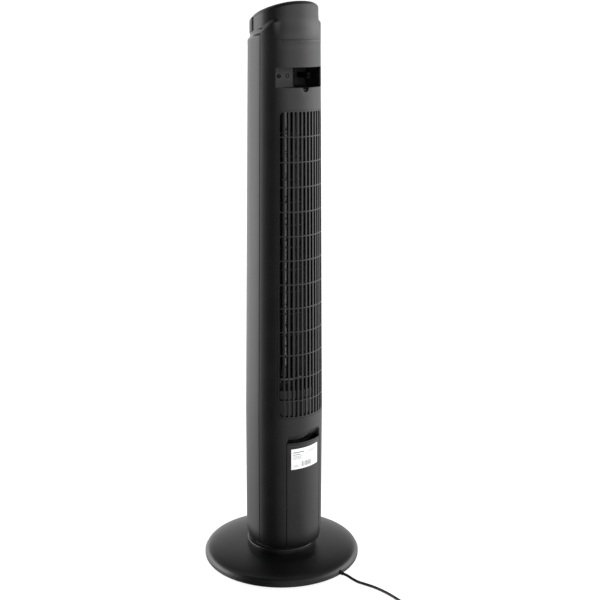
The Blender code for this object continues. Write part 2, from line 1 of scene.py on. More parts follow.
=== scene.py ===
"""Looks of the tower fan: its satin mouldings, grilles, glossy fascia, label and mains lead.

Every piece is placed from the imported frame: metres, +Z up, rear of the fan towards +Y.
Angles round the column are in degrees from the rear, positive towards -X.
"""

import math
import random

import bmesh
import bpy
from mathutils import Matrix, Vector


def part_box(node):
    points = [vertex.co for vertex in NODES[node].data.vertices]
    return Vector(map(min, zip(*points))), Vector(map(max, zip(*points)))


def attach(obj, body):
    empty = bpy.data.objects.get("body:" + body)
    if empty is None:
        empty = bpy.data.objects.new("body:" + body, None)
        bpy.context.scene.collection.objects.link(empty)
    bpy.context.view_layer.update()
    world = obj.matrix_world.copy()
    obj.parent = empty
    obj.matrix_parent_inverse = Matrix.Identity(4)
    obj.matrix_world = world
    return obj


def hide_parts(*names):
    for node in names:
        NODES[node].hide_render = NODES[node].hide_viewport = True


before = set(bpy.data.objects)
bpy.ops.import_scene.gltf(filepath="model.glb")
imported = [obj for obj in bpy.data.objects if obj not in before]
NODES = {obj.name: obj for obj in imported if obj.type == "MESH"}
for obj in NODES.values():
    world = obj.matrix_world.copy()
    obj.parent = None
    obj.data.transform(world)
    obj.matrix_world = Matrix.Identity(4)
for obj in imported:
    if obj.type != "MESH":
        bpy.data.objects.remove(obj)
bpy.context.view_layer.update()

# Column, worked out from the frame.
WHEEL_LOW, WHEEL_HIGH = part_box("impeller")
SHELL_LOW, SHELL_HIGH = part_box("front_shell")
CAP_LOW, CAP_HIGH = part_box("top_cap")
REAR_LOW, REAR_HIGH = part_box("rear_shell")
GRILLE_LOW, GRILLE_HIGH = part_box("rear_grille")
OUTLET_LOW, OUTLET_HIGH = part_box("front_grille")
BASE_LOW, BASE_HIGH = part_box("base_cover")
COLLAR_LOW, COLLAR_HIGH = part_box("swivel_collar")
COLUMN_Y = (WHEEL_LOW.y + WHEEL_HIGH.y) / 2
HEIGHT = CAP_HIGH.z
TUCK_TOP = 0.086
CAP_SLOPE = 0.33
CAP_RADIUS = CAP_HIGH.x
TOP_RADIUS = 0.0611
TAPER = 0.0120
TAPER_END = GRILLE_LOW.z
MEAN_RADIUS = (SHELL_HIGH.x + TOP_RADIUS) / 2
FRONT_BOTTOM = SHELL_LOW.z - 0.0080
REAR_BOTTOM = REAR_LOW.z + 0.0040
WALL = 0.0025
RIM_HEIGHT = REAR_HIGH.z + 0.0005
SEAM_ANGLE = 75.6
SEAM_GAP = 0.9

# Openings: half angle, low, high and corner radius.
HANDLE_ANGLE, HANDLE_BOTTOM, HANDLE_TOP, HANDLE_CORNER = 49.0, 0.8764, 0.9097, 0.0030
NOTCH_HEIGHT, NOTCH_RADIUS = 0.8752, 0.0062
GRILLE_ANGLE, GRILLE_CORNER = 45.0, 0.0110
GRILLE_BOTTOM, GRILLE_TOP = GRILLE_LOW.z, GRILLE_HIGH.z
OUTLET_BOTTOM, OUTLET_TOP, OUTLET_CORNER = OUTLET_LOW.z, OUTLET_HIGH.z, 0.0140
COVER_ANGLE, COVER_TOP, COVER_CORNER = 31.4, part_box("lower_cover")[1].z, 0.0030
SCOOP_TOP, SCOOP_CORNER = 0.2730, 0.0120
CREASE_HEIGHT, CREASE_ANGLE = 0.9530, 44.0
FASCIA_ANGLE = 100

# Hand recess: how much deeper its -X part is, and where its spare screw hole sits.
RECESS_STEP = 0.028
RECESS_HOLE_X, RECESS_HOLE_HEIGHT = 0.0139, 0.8948

# Grille: slats a few millimetres wide, crossed by thin rings.
SLAT_STEP, SLAT_COUNT, SLAT_WIDTH = 7.0, 11, 0.0031
RING_FIRST, RING_STEP, RING_COUNT, RING_HEIGHT = 0.3314, 0.0422, 12, 0.0018

# Camera: a long lens, a little above the column's middle and looking slightly down.
CAMERA_PLACE = Vector((1.1215, 1.5711, 0.9951))
CAMERA_HEADING = Vector((-0.5948, -0.8039, 0.0))
CAMERA_PITCH = 0.25216
CAMERA_ROLL = 0.00407
CAMERA_LENS = 66.63

# Mains lead.
LEAD_RADIUS = 0.0025
LEAD_ROUTE = [
    (-0.0318, 0.1491, 0.0105),
    (-0.0347, 0.1555, 0.0092),
    (-0.0386, 0.1640, 0.0058),
    (-0.0430, 0.1750, 0.0030),
    (-0.0478, 0.1880, 0.0027),
    (-0.0530, 0.2020, 0.0027),
    (-0.0570, 0.2180, 0.0027),
    (-0.0594, 0.2350, 0.0027),
    (-0.0604, 0.2520, 0.0027),
    (-0.0603, 0.2700, 0.0027),
    (-0.0600, 0.2900, 0.0029),
    (-0.0600, 0.3070, 0.0031),
    (-0.0600, 0.3210, 0.0032),
]
LEAD_ANGLE = 12.0
COIL_RADIUS = 0.0405
COIL_PITCH = 0.0051
COIL_TURNS = 8.25
COIL_LOW = 0.0032
TURN_POINTS = 20


def linear(channel):
    return channel / 12.92 if channel <= 0.04045 else ((channel + 0.055) / 1.055) ** 2.4


def colour(hex_code):
    """A hex colour as linear values with full alpha."""
    return (*(linear(int(hex_code[i:i + 2], 16) / 255) for i in (0, 2, 4)), 1.0)


def add(tree, kind, inputs=None, **settings):
    """Adds one node, with its settings, and fills its inputs from values or from other nodes."""
    node = tree.nodes.new("ShaderNode" + kind)
    for key, value in settings.items():
        setattr(node, key, value)
    for key, value in (inputs or {}).items():
        if isinstance(value, bpy.types.NodeSocket):
            tree.links.new(value, node.inputs[key])
        else:
            node.inputs[key].default_value = value
    return node


def start_material(name, **shader_values):
    """A material whose fixed values sit on its shader, and the object's own coordinates."""
    material = bpy.data.materials.new(name)
    material.use_nodes = True
    tree = material.node_tree
    shader = tree.nodes["Principled BSDF"]
    for key, value in shader_values.items():
        shader.inputs[key.replace("_", " ")].default_value = value
    return material, tree, shader, add(tree, "TexCoord").outputs["Object"]


def vary(tree, shader, place, dark, light, rough, cloud_mm, share=(0.35, 0.65)):
    """Clouds of two tones and of two roughnesses, of the given real size."""
    cloud = add(tree, "TexNoise", {"Vector": place, "Scale": 1000 / cloud_mm, "Detail": 4.0})
    tones = add(tree, "ValToRGB", {"Fac": cloud.outputs["Fac"]})
    tones.color_ramp.elements[0].position, tones.color_ramp.elements[1].position = share
    tones.color_ramp.elements[0].color = colour(dark)
    tones.color_ramp.elements[1].color = colour(light)
    tree.links.new(tones.outputs["Color"], shader.inputs["Base Color"])
    ends = {"Value": cloud.outputs["Fac"], "To Min": rough[0], "To Max": rough[1]}
    polish = add(tree, "MapRange", ends)
    tree.links.new(polish.outputs["Result"], shader.inputs["Roughness"])
    return cloud


def emboss(tree, shader, height, depth_mm, strength):
    """Raises the surface's shading by a pattern, of the given real depth."""
    bump = add(tree, "Bump", {"Height": height, "Distance": depth_mm / 1000, "Strength": strength})
    tree.links.new(bump.outputs["Normal"], shader.inputs["Normal"])


def satin_abs():
    """ABS, injection moulded in a spark-eroded tool: a deep black with a soft, even sheen.

    The real grain is 0.3 mm; it is drawn at 0.9 mm so that it still shows.
    """
    material, tree, shader, place = start_material("satin_abs", IOR=1.53, Specular_IOR_Level=0.55)
    vary(tree, shader, place, "0D0D0F", "111113", (0.30, 0.36), 38)
    grain = add(tree, "TexNoise", {"Vector": place, "Scale": 1000 / 0.9, "Detail": 2.0})
    emboss(tree, shader, grain.outputs["Fac"], 0.05, 0.25)
    return material


def gloss_abs():
    """Polished ABS, dyed through: near black, with dim mirror reflections and faint waves."""
    material, tree, shader, place = start_material("gloss_abs", IOR=1.53, Specular_IOR_Level=0.12)
    vary(tree, shader, place, "08080A", "0B0B0D", (0.07, 0.11), 60)
    wave = add(tree, "TexNoise", {"Vector": place, "Scale": 1000 / 22, "Detail": 1.0})
    emboss(tree, shader, wave.outputs["Fac"], 0.10, 0.08)
    return material


def matt_polypropylene():
    """Polypropylene, moulded and left matt: the grey-black of parts behind the grille."""
    material, tree, shader, place = start_material("matt_polypropylene", IOR=1.49)
    vary(tree, shader, place, "101011", "171718", (0.50, 0.62), 26)
    grain = add(tree, "TexNoise", {"Vector": place, "Scale": 1000 / 1.4, "Detail": 3.0})
    emboss(tree, shader, grain.outputs["Fac"], 0.08, 0.35)
    return material


def soft_pvc():
    """Plasticised PVC, extruded round the lead: a waxy black with fine lines along it."""
    material, tree, shader, place = start_material("soft_pvc", IOR=1.52, Specular_IOR_Level=0.45)
    vary(tree, shader, place, "141414", "1C1C1C", (0.42, 0.55), 14)
    scuff = add(tree, "TexNoise", {"Vector": place, "Scale": 1000 / 1.1, "Detail": 2.0, "Distortion": 0.6})
    emboss(tree, shader, scuff.outputs["Fac"], 0.06, 0.3)
    return material


def nitrile_rubber():
    """Nitrile rubber pads: dull black, slightly dusty."""
    material, tree, shader, place = start_material("nitrile_rubber", IOR=1.5, Specular_IOR_Level=0.3)
    vary(tree, shader, place, "121212", "202020", (0.78, 0.92), 6)
    dust = add(tree, "TexNoise", {"Vector": place, "Scale": 1000 / 0.8, "Detail": 4.0})
    emboss(tree, shader, dust.outputs["Fac"], 0.10, 0.4)
    return material


def zinc_steel():
    """Zinc-plated steel sheet and screws: a cool grey with cloudy spangles."""
    material, tree, shader, place = start_material("zinc_steel", Metallic=1.0)
    vary(tree, shader, place, "85888C", "A5A8AC", (0.26, 0.42), 5)
    spangle = add(tree, "TexVoronoi", {"Vector": place, "Scale": 1000 / 3.0})
    emboss(tree, shader, spangle.outputs["Distance"], 0.02, 0.2)
    return material


def black_zinc():
    """Steel screws, zinc plated and passivated black: dark metal with a soft, uneven shine."""
    material, tree, shader, place = start_material("black_zinc_steel", Metallic=0.8)
    vary(tree, shader, place, "0C0C0D", "161617", (0.40, 0.55), 3)
    turned = add(tree, "TexNoise", {"Vector": place, "Scale": 1000 / 0.8, "Detail": 2.0})
    emboss(tree, shader, turned.outputs["Fac"], 0.03, 0.3)
    return material


def cast_iron():
    """Grey iron, sand cast and dipped in black paint: dark, rough and pitted."""
    material, tree, shader, place = start_material("cast_iron", Metallic=0.6)
    vary(tree, shader, place, "29292A", "3B3A39", (0.62, 0.82), 4)
    pit = add(tree, "TexVoronoi", {"Vector": place, "Scale": 1000 / 1.6})
    emboss(tree, shader, pit.outputs["Distance"], 0.25, 0.6)
    return material


def plated_brass():
    """Brass, turned and nickel plated: pale warm metal with fine rings from the lathe."""
    material, tree, shader, place = start_material("plated_brass", Metallic=1.0)
    vary(tree, shader, place, "B5A887", "CFC6AE", (0.16, 0.26), 3)
    rings = add(tree, "TexWave", {"Vector": place, "Scale": 1000 / 1.5}, bands_direction="X")
    emboss(tree, shader, rings.outputs["Fac"], 0.01, 0.2)
    return material


def enamelled_copper():
    """Enamelled copper wire, wound in layers: reddish metal under a varnish."""
    material, tree, shader, place = start_material("enamelled_copper", Metallic=1.0, Coat_Weight=0.4)
    vary(tree, shader, place, "8A4A26", "B46A3C", (0.28, 0.4), 3)
    wire = add(tree, "TexWave", {"Vector": place, "Scale": 1000 / 2.4}, bands_direction="Z")
    emboss(tree, shader, wire.outputs["Fac"], 0.20, 0.7)
    return material


def solder_mask():
    """Glass-epoxy board under green solder mask: tracks show as faint raised lines."""
    material, tree, shader, place = start_material("solder_mask", IOR=1.55)
    vary(tree, shader, place, "123A26", "1C5034", (0.3, 0.42), 3)
    track = add(tree, "TexBrick", {"Vector": place, "Scale": 1000 / 9, "Mortar Size": 0.03})
    emboss(tree, shader, track.outputs["Fac"], 0.10, 0.5)
    return material


def vinyl_film():
    """White vinyl label film, semi-gloss, and it waves faintly; a painted glow lifts its white to make up for
    light that does not reach it.
    """
    # Painted light: the film glows a little, so it looks brighter than the light reaching it would make it.
    glow = {"Emission_Color": (1, 1, 1, 1), "Emission_Strength": 0.22}
    material, tree, shader, place = start_material("vinyl_film", IOR=1.5, **glow)
    vary(tree, shader, place, "EEEFEF", "F4F5F5", (0.38, 0.48), 18)
    wave = add(tree, "TexNoise", {"Vector": place, "Scale": 1000 / 12, "Detail": 1.0})
    emboss(tree, shader, wave.outputs["Fac"], 0.05, 0.2)
    return material


def label_ink():
    """Thermal-transfer print: a grey-black wax, slightly broken up."""
    material, tree, shader, place = start_material("label_ink", IOR=1.45)
    vary(tree, shader, place, "7E8084", "9C9EA2", (0.5, 0.6), 2)
    break_up = add(tree, "TexNoise", {"Vector": place, "Scale": 1000 / 0.7, "Detail": 2.0})
    emboss(tree, shader, break_up.outputs["Fac"], 0.02, 0.3)
    return material


def smoked_acrylic():
    """Smoked acrylic window: black glass-like sheet with a hard shine."""
    varnish = {"Coat_Weight": 1.0, "Coat_Roughness": 0.02}
    material, tree, shader, place = start_material("smoked_acrylic", IOR=1.49, **varnish)
    vary(tree, shader, place, "050507", "09090C", (0.04, 0.07), 30)
    wave = add(tree, "TexNoise", {"Vector": place, "Scale": 1000 / 30, "Detail": 1.0})
    emboss(tree, shader, wave.outputs["Fac"], 0.05, 0.05)
    return material


def soft_touch_abs():
    """ABS with a soft-touch lacquer, for the push buttons: charcoal with a velvety edge."""
    material, tree, shader, place = start_material("soft_touch_abs", IOR=1.5, Sheen_Weight=0.15)
    vary(tree, shader, place, "2B2C2E", "353638", (0.45, 0.55), 5)
    grain = add(tree, "TexNoise", {"Vector": place, "Scale": 1000 / 0.6, "Detail": 2.0})
    emboss(tree, shader, grain.outputs["Fac"], 0.03, 0.3)
    return material


def pad_print():
    """White pad-printed ink for the symbols on the panel."""
    material, tree, shader, place = start_material("pad_print", IOR=1.45)
    vary(tree, shader, place, "C4C6C8", "DADCDD", (0.45, 0.6), 2)
    edge = add(tree, "TexNoise", {"Vector": place, "Scale": 1000 / 0.5, "Detail": 1.0})
    emboss(tree, shader, edge.outputs["Fac"], 0.01, 0.3)
    return material


def studio_paper():
    """Seamless white paper under the fan, with its faint tooth."""
    glow = {"Emission_Color": (1, 1, 1, 1), "Emission_Strength": 0.85}
    material, tree, shader, place = start_material("studio_paper", Specular_IOR_Level=0.1, **glow)
    vary(tree, shader, place, "F4F4F4", "FAFAFA", (0.85, 0.95), 400)
    tooth = add(tree, "TexNoise", {"Vector": place, "Scale": 1000 / 3.0, "Detail": 3.0})
    emboss(tree, shader, tooth.outputs["Fac"], 0.05, 0.1)
    return material


SATIN = satin_abs()
GLOSS = gloss_abs()
MATT = matt_polypropylene()
PVC = soft_pvc()
RUBBER = nitrile_rubber()
STEEL = zinc_steel()
BLACK_ZINC = black_zinc()
IRON = cast_iron()
BRASS = plated_brass()
COPPER = enamelled_copper()
BOARD = solder_mask()
FILM = vinyl_film()
INK = label_ink()
ACRYLIC = smoked_acrylic()
SOFT_TOUCH = soft_touch_abs()
PRINT = pad_print()
PAPER = studio_paper()


def ease(t):
    """0 before 0, 1 after 1, and a smooth rise between."""
    t = min(max(t, 0.0), 1.0)
    return t * t * (3 - 2 * t)


def column_radius(z):
    """The shells' outer radius, before the tuck at the lower end."""
    return TOP_RADIUS + TAPER * (HEIGHT - max(z, TAPER_END))


def tuck(angle, z):
    """How far the lower end draws in: softly at the rear, and as a fuller round at the front."""
    share = min(max((0.078 - z) / 0.033, 0.0), 1.0)
    depth = 0.0050 + 0.0030 * ease((abs(angle) - SEAM_ANGLE) / 12)
    return depth * (1 - math.sqrt(1 - 0.92 * share * share))


def column_point(angle, z, inset=0.0):
    radius = column_radius(z) - inset
    turn = math.radians(angle)
    return Vector((-radius * math.sin(turn), COLUMN_Y + radius * math.cos(turn), z))


def rim(angle):
    """Height of the joint with the cap: level at the rear, and falling round to the front."""
    round_side = ease((abs(angle) - 48) / 32)
    front = ease((abs(angle) - 126) / 54)
    side = RIM_HEIGHT - 0.0186 + 0.0100 * math.cos(math.radians(angle)) - 0.0055 * front
    return RIM_HEIGHT + (side - RIM_HEIGHT) * round_side


def spread(stops):
    """Positions from (start, spacing up to the next start), evenly divided."""
    marks = []
    for (low, step), (high, _) in zip(stops, stops[1:]):
        count = max(1, math.ceil((high - low) / step - 1e-6))
        marks += [low + (high - low) * i / count for i in range(count)]
    return marks + [stops[-1][0]]


def opening(angle, z, half_angle, low, high, corner):
    """Distance on the unrolled wall to an opening with round corners, negative inside it."""
    half_width = math.radians(half_angle) * MEAN_RADIUS
    across = abs(math.radians(angle) * MEAN_RADIUS) - (half_width - corner)
    up = abs(z - (low + high) / 2) - ((high - low) / 2 - corner)
    return math.hypot(max(across, 0), max(up, 0)) + min(max(across, up), 0) - corner


def to_contour(edge, angle, z):
    """Moves a point of the unrolled wall onto the contour where edge(angle, z) is 0."""
    small = 0.00005
    turn = math.degrees(small / MEAN_RADIUS)
    for _ in range(2):
        away = edge(angle, z)
        across = (edge(angle + turn, z) - edge(angle - turn, z)) / (2 * small)
        up = (edge(angle, z + small) - edge(angle, z - small)) / (2 * small)
        steep = max(across * across + up * up, 0.25)
        angle -= math.degrees(away * across / steep / MEAN_RADIUS)
        z -= away * up / steep
    return angle, z


def skin(name, columns, rows, position, edge=None):
    """An open wall on a grid of angles and heights, left out where edge(angle, z) is negative."""
    keep = set()
    for i in range(len(columns) - 1):
        for j in range(len(rows) - 1):
            middle = ((columns[i] + columns[i + 1]) / 2, (rows[j] + rows[j + 1]) / 2)
            if edge is None or edge(*middle) > 0:
                keep.add((i, j))
    bm = bmesh.new()
    verts = {}
    for i in range(len(columns)):
        for j in range(len(rows)):
            around = [(i - 1, j - 1), (i, j - 1), (i - 1, j), (i, j)]
            inside = [0 <= a < len(columns) - 1 and 0 <= b < len(rows) - 1 for a, b in around]
            kept = [cell in keep for cell in around]
            if not any(kept):
                continue
            angle, z = columns[i], rows[j]
            if any(here and not there for here, there in zip(inside, kept)):
                angle, z = to_contour(edge, angle, z)
            verts[i, j] = bm.verts.new(position(angle, z))
    for i, j in sorted(keep):
        bm.faces.new([verts[i, j], verts[i, j + 1], verts[i + 1, j + 1], verts[i + 1, j]])
    bmesh.ops.recalc_face_normals(bm, faces=bm.faces)
    middle = next(iter(bm.faces)).calc_center_median()
    outward = Vector((middle.x, middle.y - COLUMN_Y, 0))
    if next(iter(bm.faces)).normal.dot(outward) < 0:
        bmesh.ops.reverse_faces(bm, faces=bm.faces)
    return piece(name, bm)


def piece(name, bm):
    """An object made of the mesh being built."""
    mesh = bpy.data.meshes.new(name)
    bm.to_mesh(mesh)
    bm.free()
    obj = bpy.data.objects.new(name, mesh)
    bpy.context.scene.collection.objects.link(obj)
    return obj


def settle(obj, wall=0.0, bevel=0.0, segments=2, smooth=38.0, even=True):
    """Gives a piece its wall and its rounded edges, and shades it smooth between sharp ones."""
    if wall:
        thick = obj.modifiers.new("wall", "SOLIDIFY")
        thick.thickness = wall
        thick.offset = -1.0
        thick.use_even_offset = even
    if bevel:
        round_off = obj.modifiers.new("edges", "BEVEL")
        round_off.width = bevel
        round_off.segments = segments
        round_off.limit_method = "ANGLE"
        round_off.angle_limit = math.radians(40)
    bake(obj)
    obj.data.shade_smooth()
    obj.data.set_sharp_from_angle(angle=math.radians(smooth))
    weigh = obj.modifiers.new("even_shading", "WEIGHTED_NORMAL")
    weigh.keep_sharp = True
    bake(obj)
    return obj


def bake(obj):
    """Turns a piece's modifiers into mesh."""
    bpy.context.view_layer.update()
    graph = bpy.context.evaluated_depsgraph_get()
    mesh = bpy.data.meshes.new_from_object(obj.evaluated_get(graph))
    old = obj.data
    obj.modifiers.clear()
    obj.data = mesh
    bpy.data.meshes.remove(old)


def cut(obj, tools):
    """Cuts pieces out of a piece, and removes them."""
    for tool in tools:
        hole = obj.modifiers.new("hole", "BOOLEAN")
        hole.object = tool
        hole.operation = "DIFFERENCE"
    bake(obj)
    for tool in tools:
        bpy.data.objects.remove(tool)


def lathe(name, profile, steps=128, turned_by=None, closed=True):
    """Turns a profile of (radius, height) about Z, then places it by a matrix."""
    bm = bmesh.new()
    verts = [bm.verts.new((radius, 0, height)) for radius, height in profile]
    edges = [bm.edges.new(pair) for pair in zip(verts, verts[1:])]
    if closed:
        edges.append(bm.edges.new((verts[-1], verts[0])))
    bmesh.ops.spin(
        bm, geom=verts + edges, axis=(0, 0, 1), cent=(0, 0, 0), angle=math.tau, steps=steps
    )
    bmesh.ops.remove_doubles(bm, verts=bm.verts, dist=0.000005)
    bmesh.ops.recalc_face_normals(bm, faces=bm.faces)
    if turned_by:
        bmesh.ops.transform(bm, matrix=turned_by, verts=bm.verts)
    return piece(name, bm)


def arc(centre, radius, first, last, count):
    """Points of a round stretch in a profile, from one angle to another in degrees."""
    spots = []
    for k in range(count + 1):
        turn = math.radians(first + (last - first) * k / count)
        spots.append((centre[0] + radius * math.cos(turn), centre[1] + radius * math.sin(turn)))
    return spots


def loft(name, sections):
    """Joins equal loops of points and closes both ends."""
    bm = bmesh.new()
    loops = [[bm.verts.new(spot) for spot in section] for section in sections]
    for one, other in zip(loops, loops[1:]):
        for k in range(len(one)):
            nxt = (k + 1) % len(one)
            bm.faces.new([one[k], one[nxt], other[nxt], other[k]])
    bm.faces.new(loops[0])
    bm.faces.new(loops[-1])
    bmesh.ops.recalc_face_normals(bm, faces=bm.faces)
    return piece(name, bm)


def rounded_loop(width, height, corner, points=5):
    """A flat loop of (across, up) round a rectangle with round corners."""
    loop = []
    for k, (sx, sy) in enumerate(((1, 1), (-1, 1), (-1, -1), (1, -1))):
        centre = (sx * (width / 2 - corner), sy * (height / 2 - corner))
        loop += arc(centre, corner, 90 * k, 90 * k + 90, points)
    return loop


def dress(obj, material, body, slot, *nodes):
    """Gives a piece its finish and the body it moves with, and hides the CAD nodes it stands for."""
    obj.data.materials.clear()
    obj.data.materials.append(material)
    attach(obj, body)
    if nodes:
        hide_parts(*nodes)
    return obj


def make_camera():
    """The camera, aimed by its heading, pitch and roll."""
    heading = CAMERA_HEADING.normalized()
    level = Vector((heading.y, -heading.x, 0))
    forward = heading * math.cos(CAMERA_PITCH) - Vector((0, 0, math.sin(CAMERA_PITCH)))
    upright = level.cross(forward)
    right = math.cos(CAMERA_ROLL) * level + math.sin(CAMERA_ROLL) * upright
    up = math.cos(CAMERA_ROLL) * upright - math.sin(CAMERA_ROLL) * level
    data = bpy.data.cameras.new("camera")
    data.lens = CAMERA_LENS
    data.clip_start = 0.05
    camera = bpy.data.objects.new("camera", data)
    bpy.context.scene.collection.objects.link(camera)
    turned = Matrix((right, up, -forward)).transposed().to_4x4()
    camera.matrix_world = Matrix.Translation(CAMERA_PLACE) @ turned
    bpy.context.scene.camera = camera


def coil_points():
    """The coil, wound clockwise: in along its first layer, then out along a second on top."""
    low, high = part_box("cord_coil")
    centre = (low + high) / 2
    count = round(COIL_TURNS * TURN_POINTS)
    half = count // 2
    narrow = COIL_RADIUS - COIL_PITCH * COIL_TURNS / 2
    points = []
    for k in range(count + 1):
        turn = math.pi - math.tau * k / TURN_POINTS
        share = abs(k - half) / half
        radius = narrow + (COIL_RADIUS - narrow) * min(share, 1.0)
        climb = ease((k - half + TURN_POINTS / 4) / (TURN_POINTS / 2))
        height = COIL_LOW + COIL_PITCH * climb
        spot = (centre.x + radius * math.cos(turn), centre.y + radius * math.sin(turn), height)
        points.append(Vector(spot))
    return points


def make_lead():
    """The mains lead from its strain relief, along the floor, and coiled up to its plug."""
    plug_low, plug_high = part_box("plug_body")
    end = Vector((plug_low.x, (plug_low.y + plug_high.y) / 2, (plug_low.z + plug_high.z) / 2))
    coil = coil_points()
    points = [Vector(p) for p in LEAD_ROUTE] + coil
    points.append(coil[-1].lerp(end, 0.5))
    points.append(end)
    curve = bpy.data.curves.new("mains_lead", "CURVE")
    curve.dimensions = "3D"
    curve.bevel_depth = LEAD_RADIUS
    curve.bevel_resolution = 4
    curve.resolution_u = 6
    curve.use_fill_caps = True
    line = curve.splines.new("BEZIER")
    line.bezier_points.add(len(points) - 1)
    for knot, point in zip(line.bezier_points, points):
        knot.co = point
        knot.handle_left_type = "AUTO"
        knot.handle_right_type = "AUTO"
    lead = bpy.data.objects.new("mains_lead", curve)
    bpy.context.scene.collection.objects.link(lead)
    dress(lead, PVC, "base", "rubber", "cord", "cord_coil", "cord_tail")
    return lead, points[0]


def make_relief():
    """The ribbed strain relief, thinning towards the lead."""
    turn = Matrix.Rotation(math.radians(LEAD_ANGLE), 4, "Z")
    relief_low, relief_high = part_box("strain_relief")
    height = (relief_low.z + relief_high.z) / 2
    start, ribbed, end = 0.1280, 0.1445, 0.1515
    wide, slim = 0.0044, 0.0031
    profile = [(LEAD_RADIUS + 0.0002, start), (wide, start)]
    ribs = 7
    pitch = (end - ribbed) / ribs
    for k in range(ribs):
        along = ribbed + pitch * k
        radius = wide + (slim - wide) * (along - start) / (end - start)
        profile += [(radius, along), (radius, along + 0.6 * pitch)]
        profile += [(radius - 0.0005, along + 0.65 * pitch), (radius - 0.0005, along + 0.95 * pitch)]
    profile += [(slim, end), (LEAD_RADIUS + 0.0002, end)]
    lay_down = Matrix.Rotation(-math.pi / 2, 4, "X")
    place = Matrix.Translation((0, 0, height)) @ turn @ lay_down
    relief = settle(lathe("strain_relief_sleeve", profile, 40, place), bevel=0.00012, segments=1)
    return dress(relief, PVC, "base", "rubber", "strain_relief")


def make_plug():
    """The moulded two-pin plug: narrow at the lead, swelling to a flat face with grip ribs."""
    low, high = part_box("plug_body")
    length, width, height = high - low
    middle = (low + high) / 2
    shape = [(0.0, 0.24, 0.50), (0.04, 0.27, 0.58), (0.16, 0.32, 0.66), (0.24, 0.44, 0.74)]
    shape += [(0.34, 0.72, 0.88), (0.46, 0.92, 0.97), (0.60, 1.0, 1.0), (0.72, 0.97, 0.93)]
    shape += [(0.84, 1.0, 1.0), (0.97, 1.0, 1.0), (1.0, 0.95, 0.90)]
    sections = []
    for along, wide, tall in shape:
        corner = 0.48 * min(width * wide, height * tall)
        loop = rounded_loop(width * wide, height * tall, corner, 6)
        sections.append([(low.x + length * along, middle.y + a, middle.z + b) for a, b in loop])
    body = settle(loft("plug_moulding", sections), smooth=50)
    dress(body, PVC, "base", "rubber", "plug_body")
    pins = []
    for name in ("plug_pin_1", "plug_pin_2"):
        pin_low, pin_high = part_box(name)
        radius = (pin_high.y - pin_low.y) / 2
        reach = pin_high.x - pin_low.x
        profile = [(0, 0), (radius, 0), (radius, reach * 0.5), (radius - 0.0003, reach * 0.51)]
        profile += [(radius - 0.0003, reach - radius)]
        profile += arc((0, reach - radius), radius - 0.0003, 0, 90, 6)
        spot = (pin_low.x, (pin_low.y + pin_high.y) / 2, middle.z)
        place = Matrix.Translation(spot) @ Matrix.Rotation(math.pi / 2, 4, "Y")
        pin = settle(lathe(name + "_turned", profile, 32, place, closed=False))
        pins.append(dress(pin, BRASS, "base", "brass", name))
    return [body] + pins


def make_tie():
    """A hook-and-loop strap round one side of the coil."""
    low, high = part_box("cord_coil")
    centre = (low + high) / 2
    inner, outer = COIL_RADIUS - COIL_PITCH * COIL_TURNS / 2 - 0.0038, COIL_RADIUS + 0.0034
    bottom, top = 0.0001, COIL_LOW + COIL_PITCH + LEAD_RADIUS + 0.0009
    loop = rounded_loop(outer - inner, top - bottom, 0.0030, 6)
    slim = rounded_loop(outer - inner - 0.0012, top - bottom - 0.0010, 0.0026, 6)
    middle = Vector((centre.x + (inner + outer) / 2, centre.y, (bottom + top) / 2))
    bm = bmesh.new()
    rings = []
    for y in (-0.0070, 0.0070):
        for outline in (loop, slim):
            spots = [middle + Vector((across, y, up)) for across, up in outline]
            rings.append([bm.verts.new(spot) for spot in spots])
    for one, other in ((0, 2), (3, 1), (1, 0), (2, 3)):
        for k in range(len(loop)):
            nxt = (k + 1) % len(loop)
            bm.faces.new([rings[one][k], rings[one][nxt], rings[other][nxt], rings[other][k]])
    bmesh.ops.recalc_face_normals(bm, faces=bm.faces)
    tie = settle(piece("coil_tie", bm))
    return dress(tie, RUBBER, "base", "rubber")


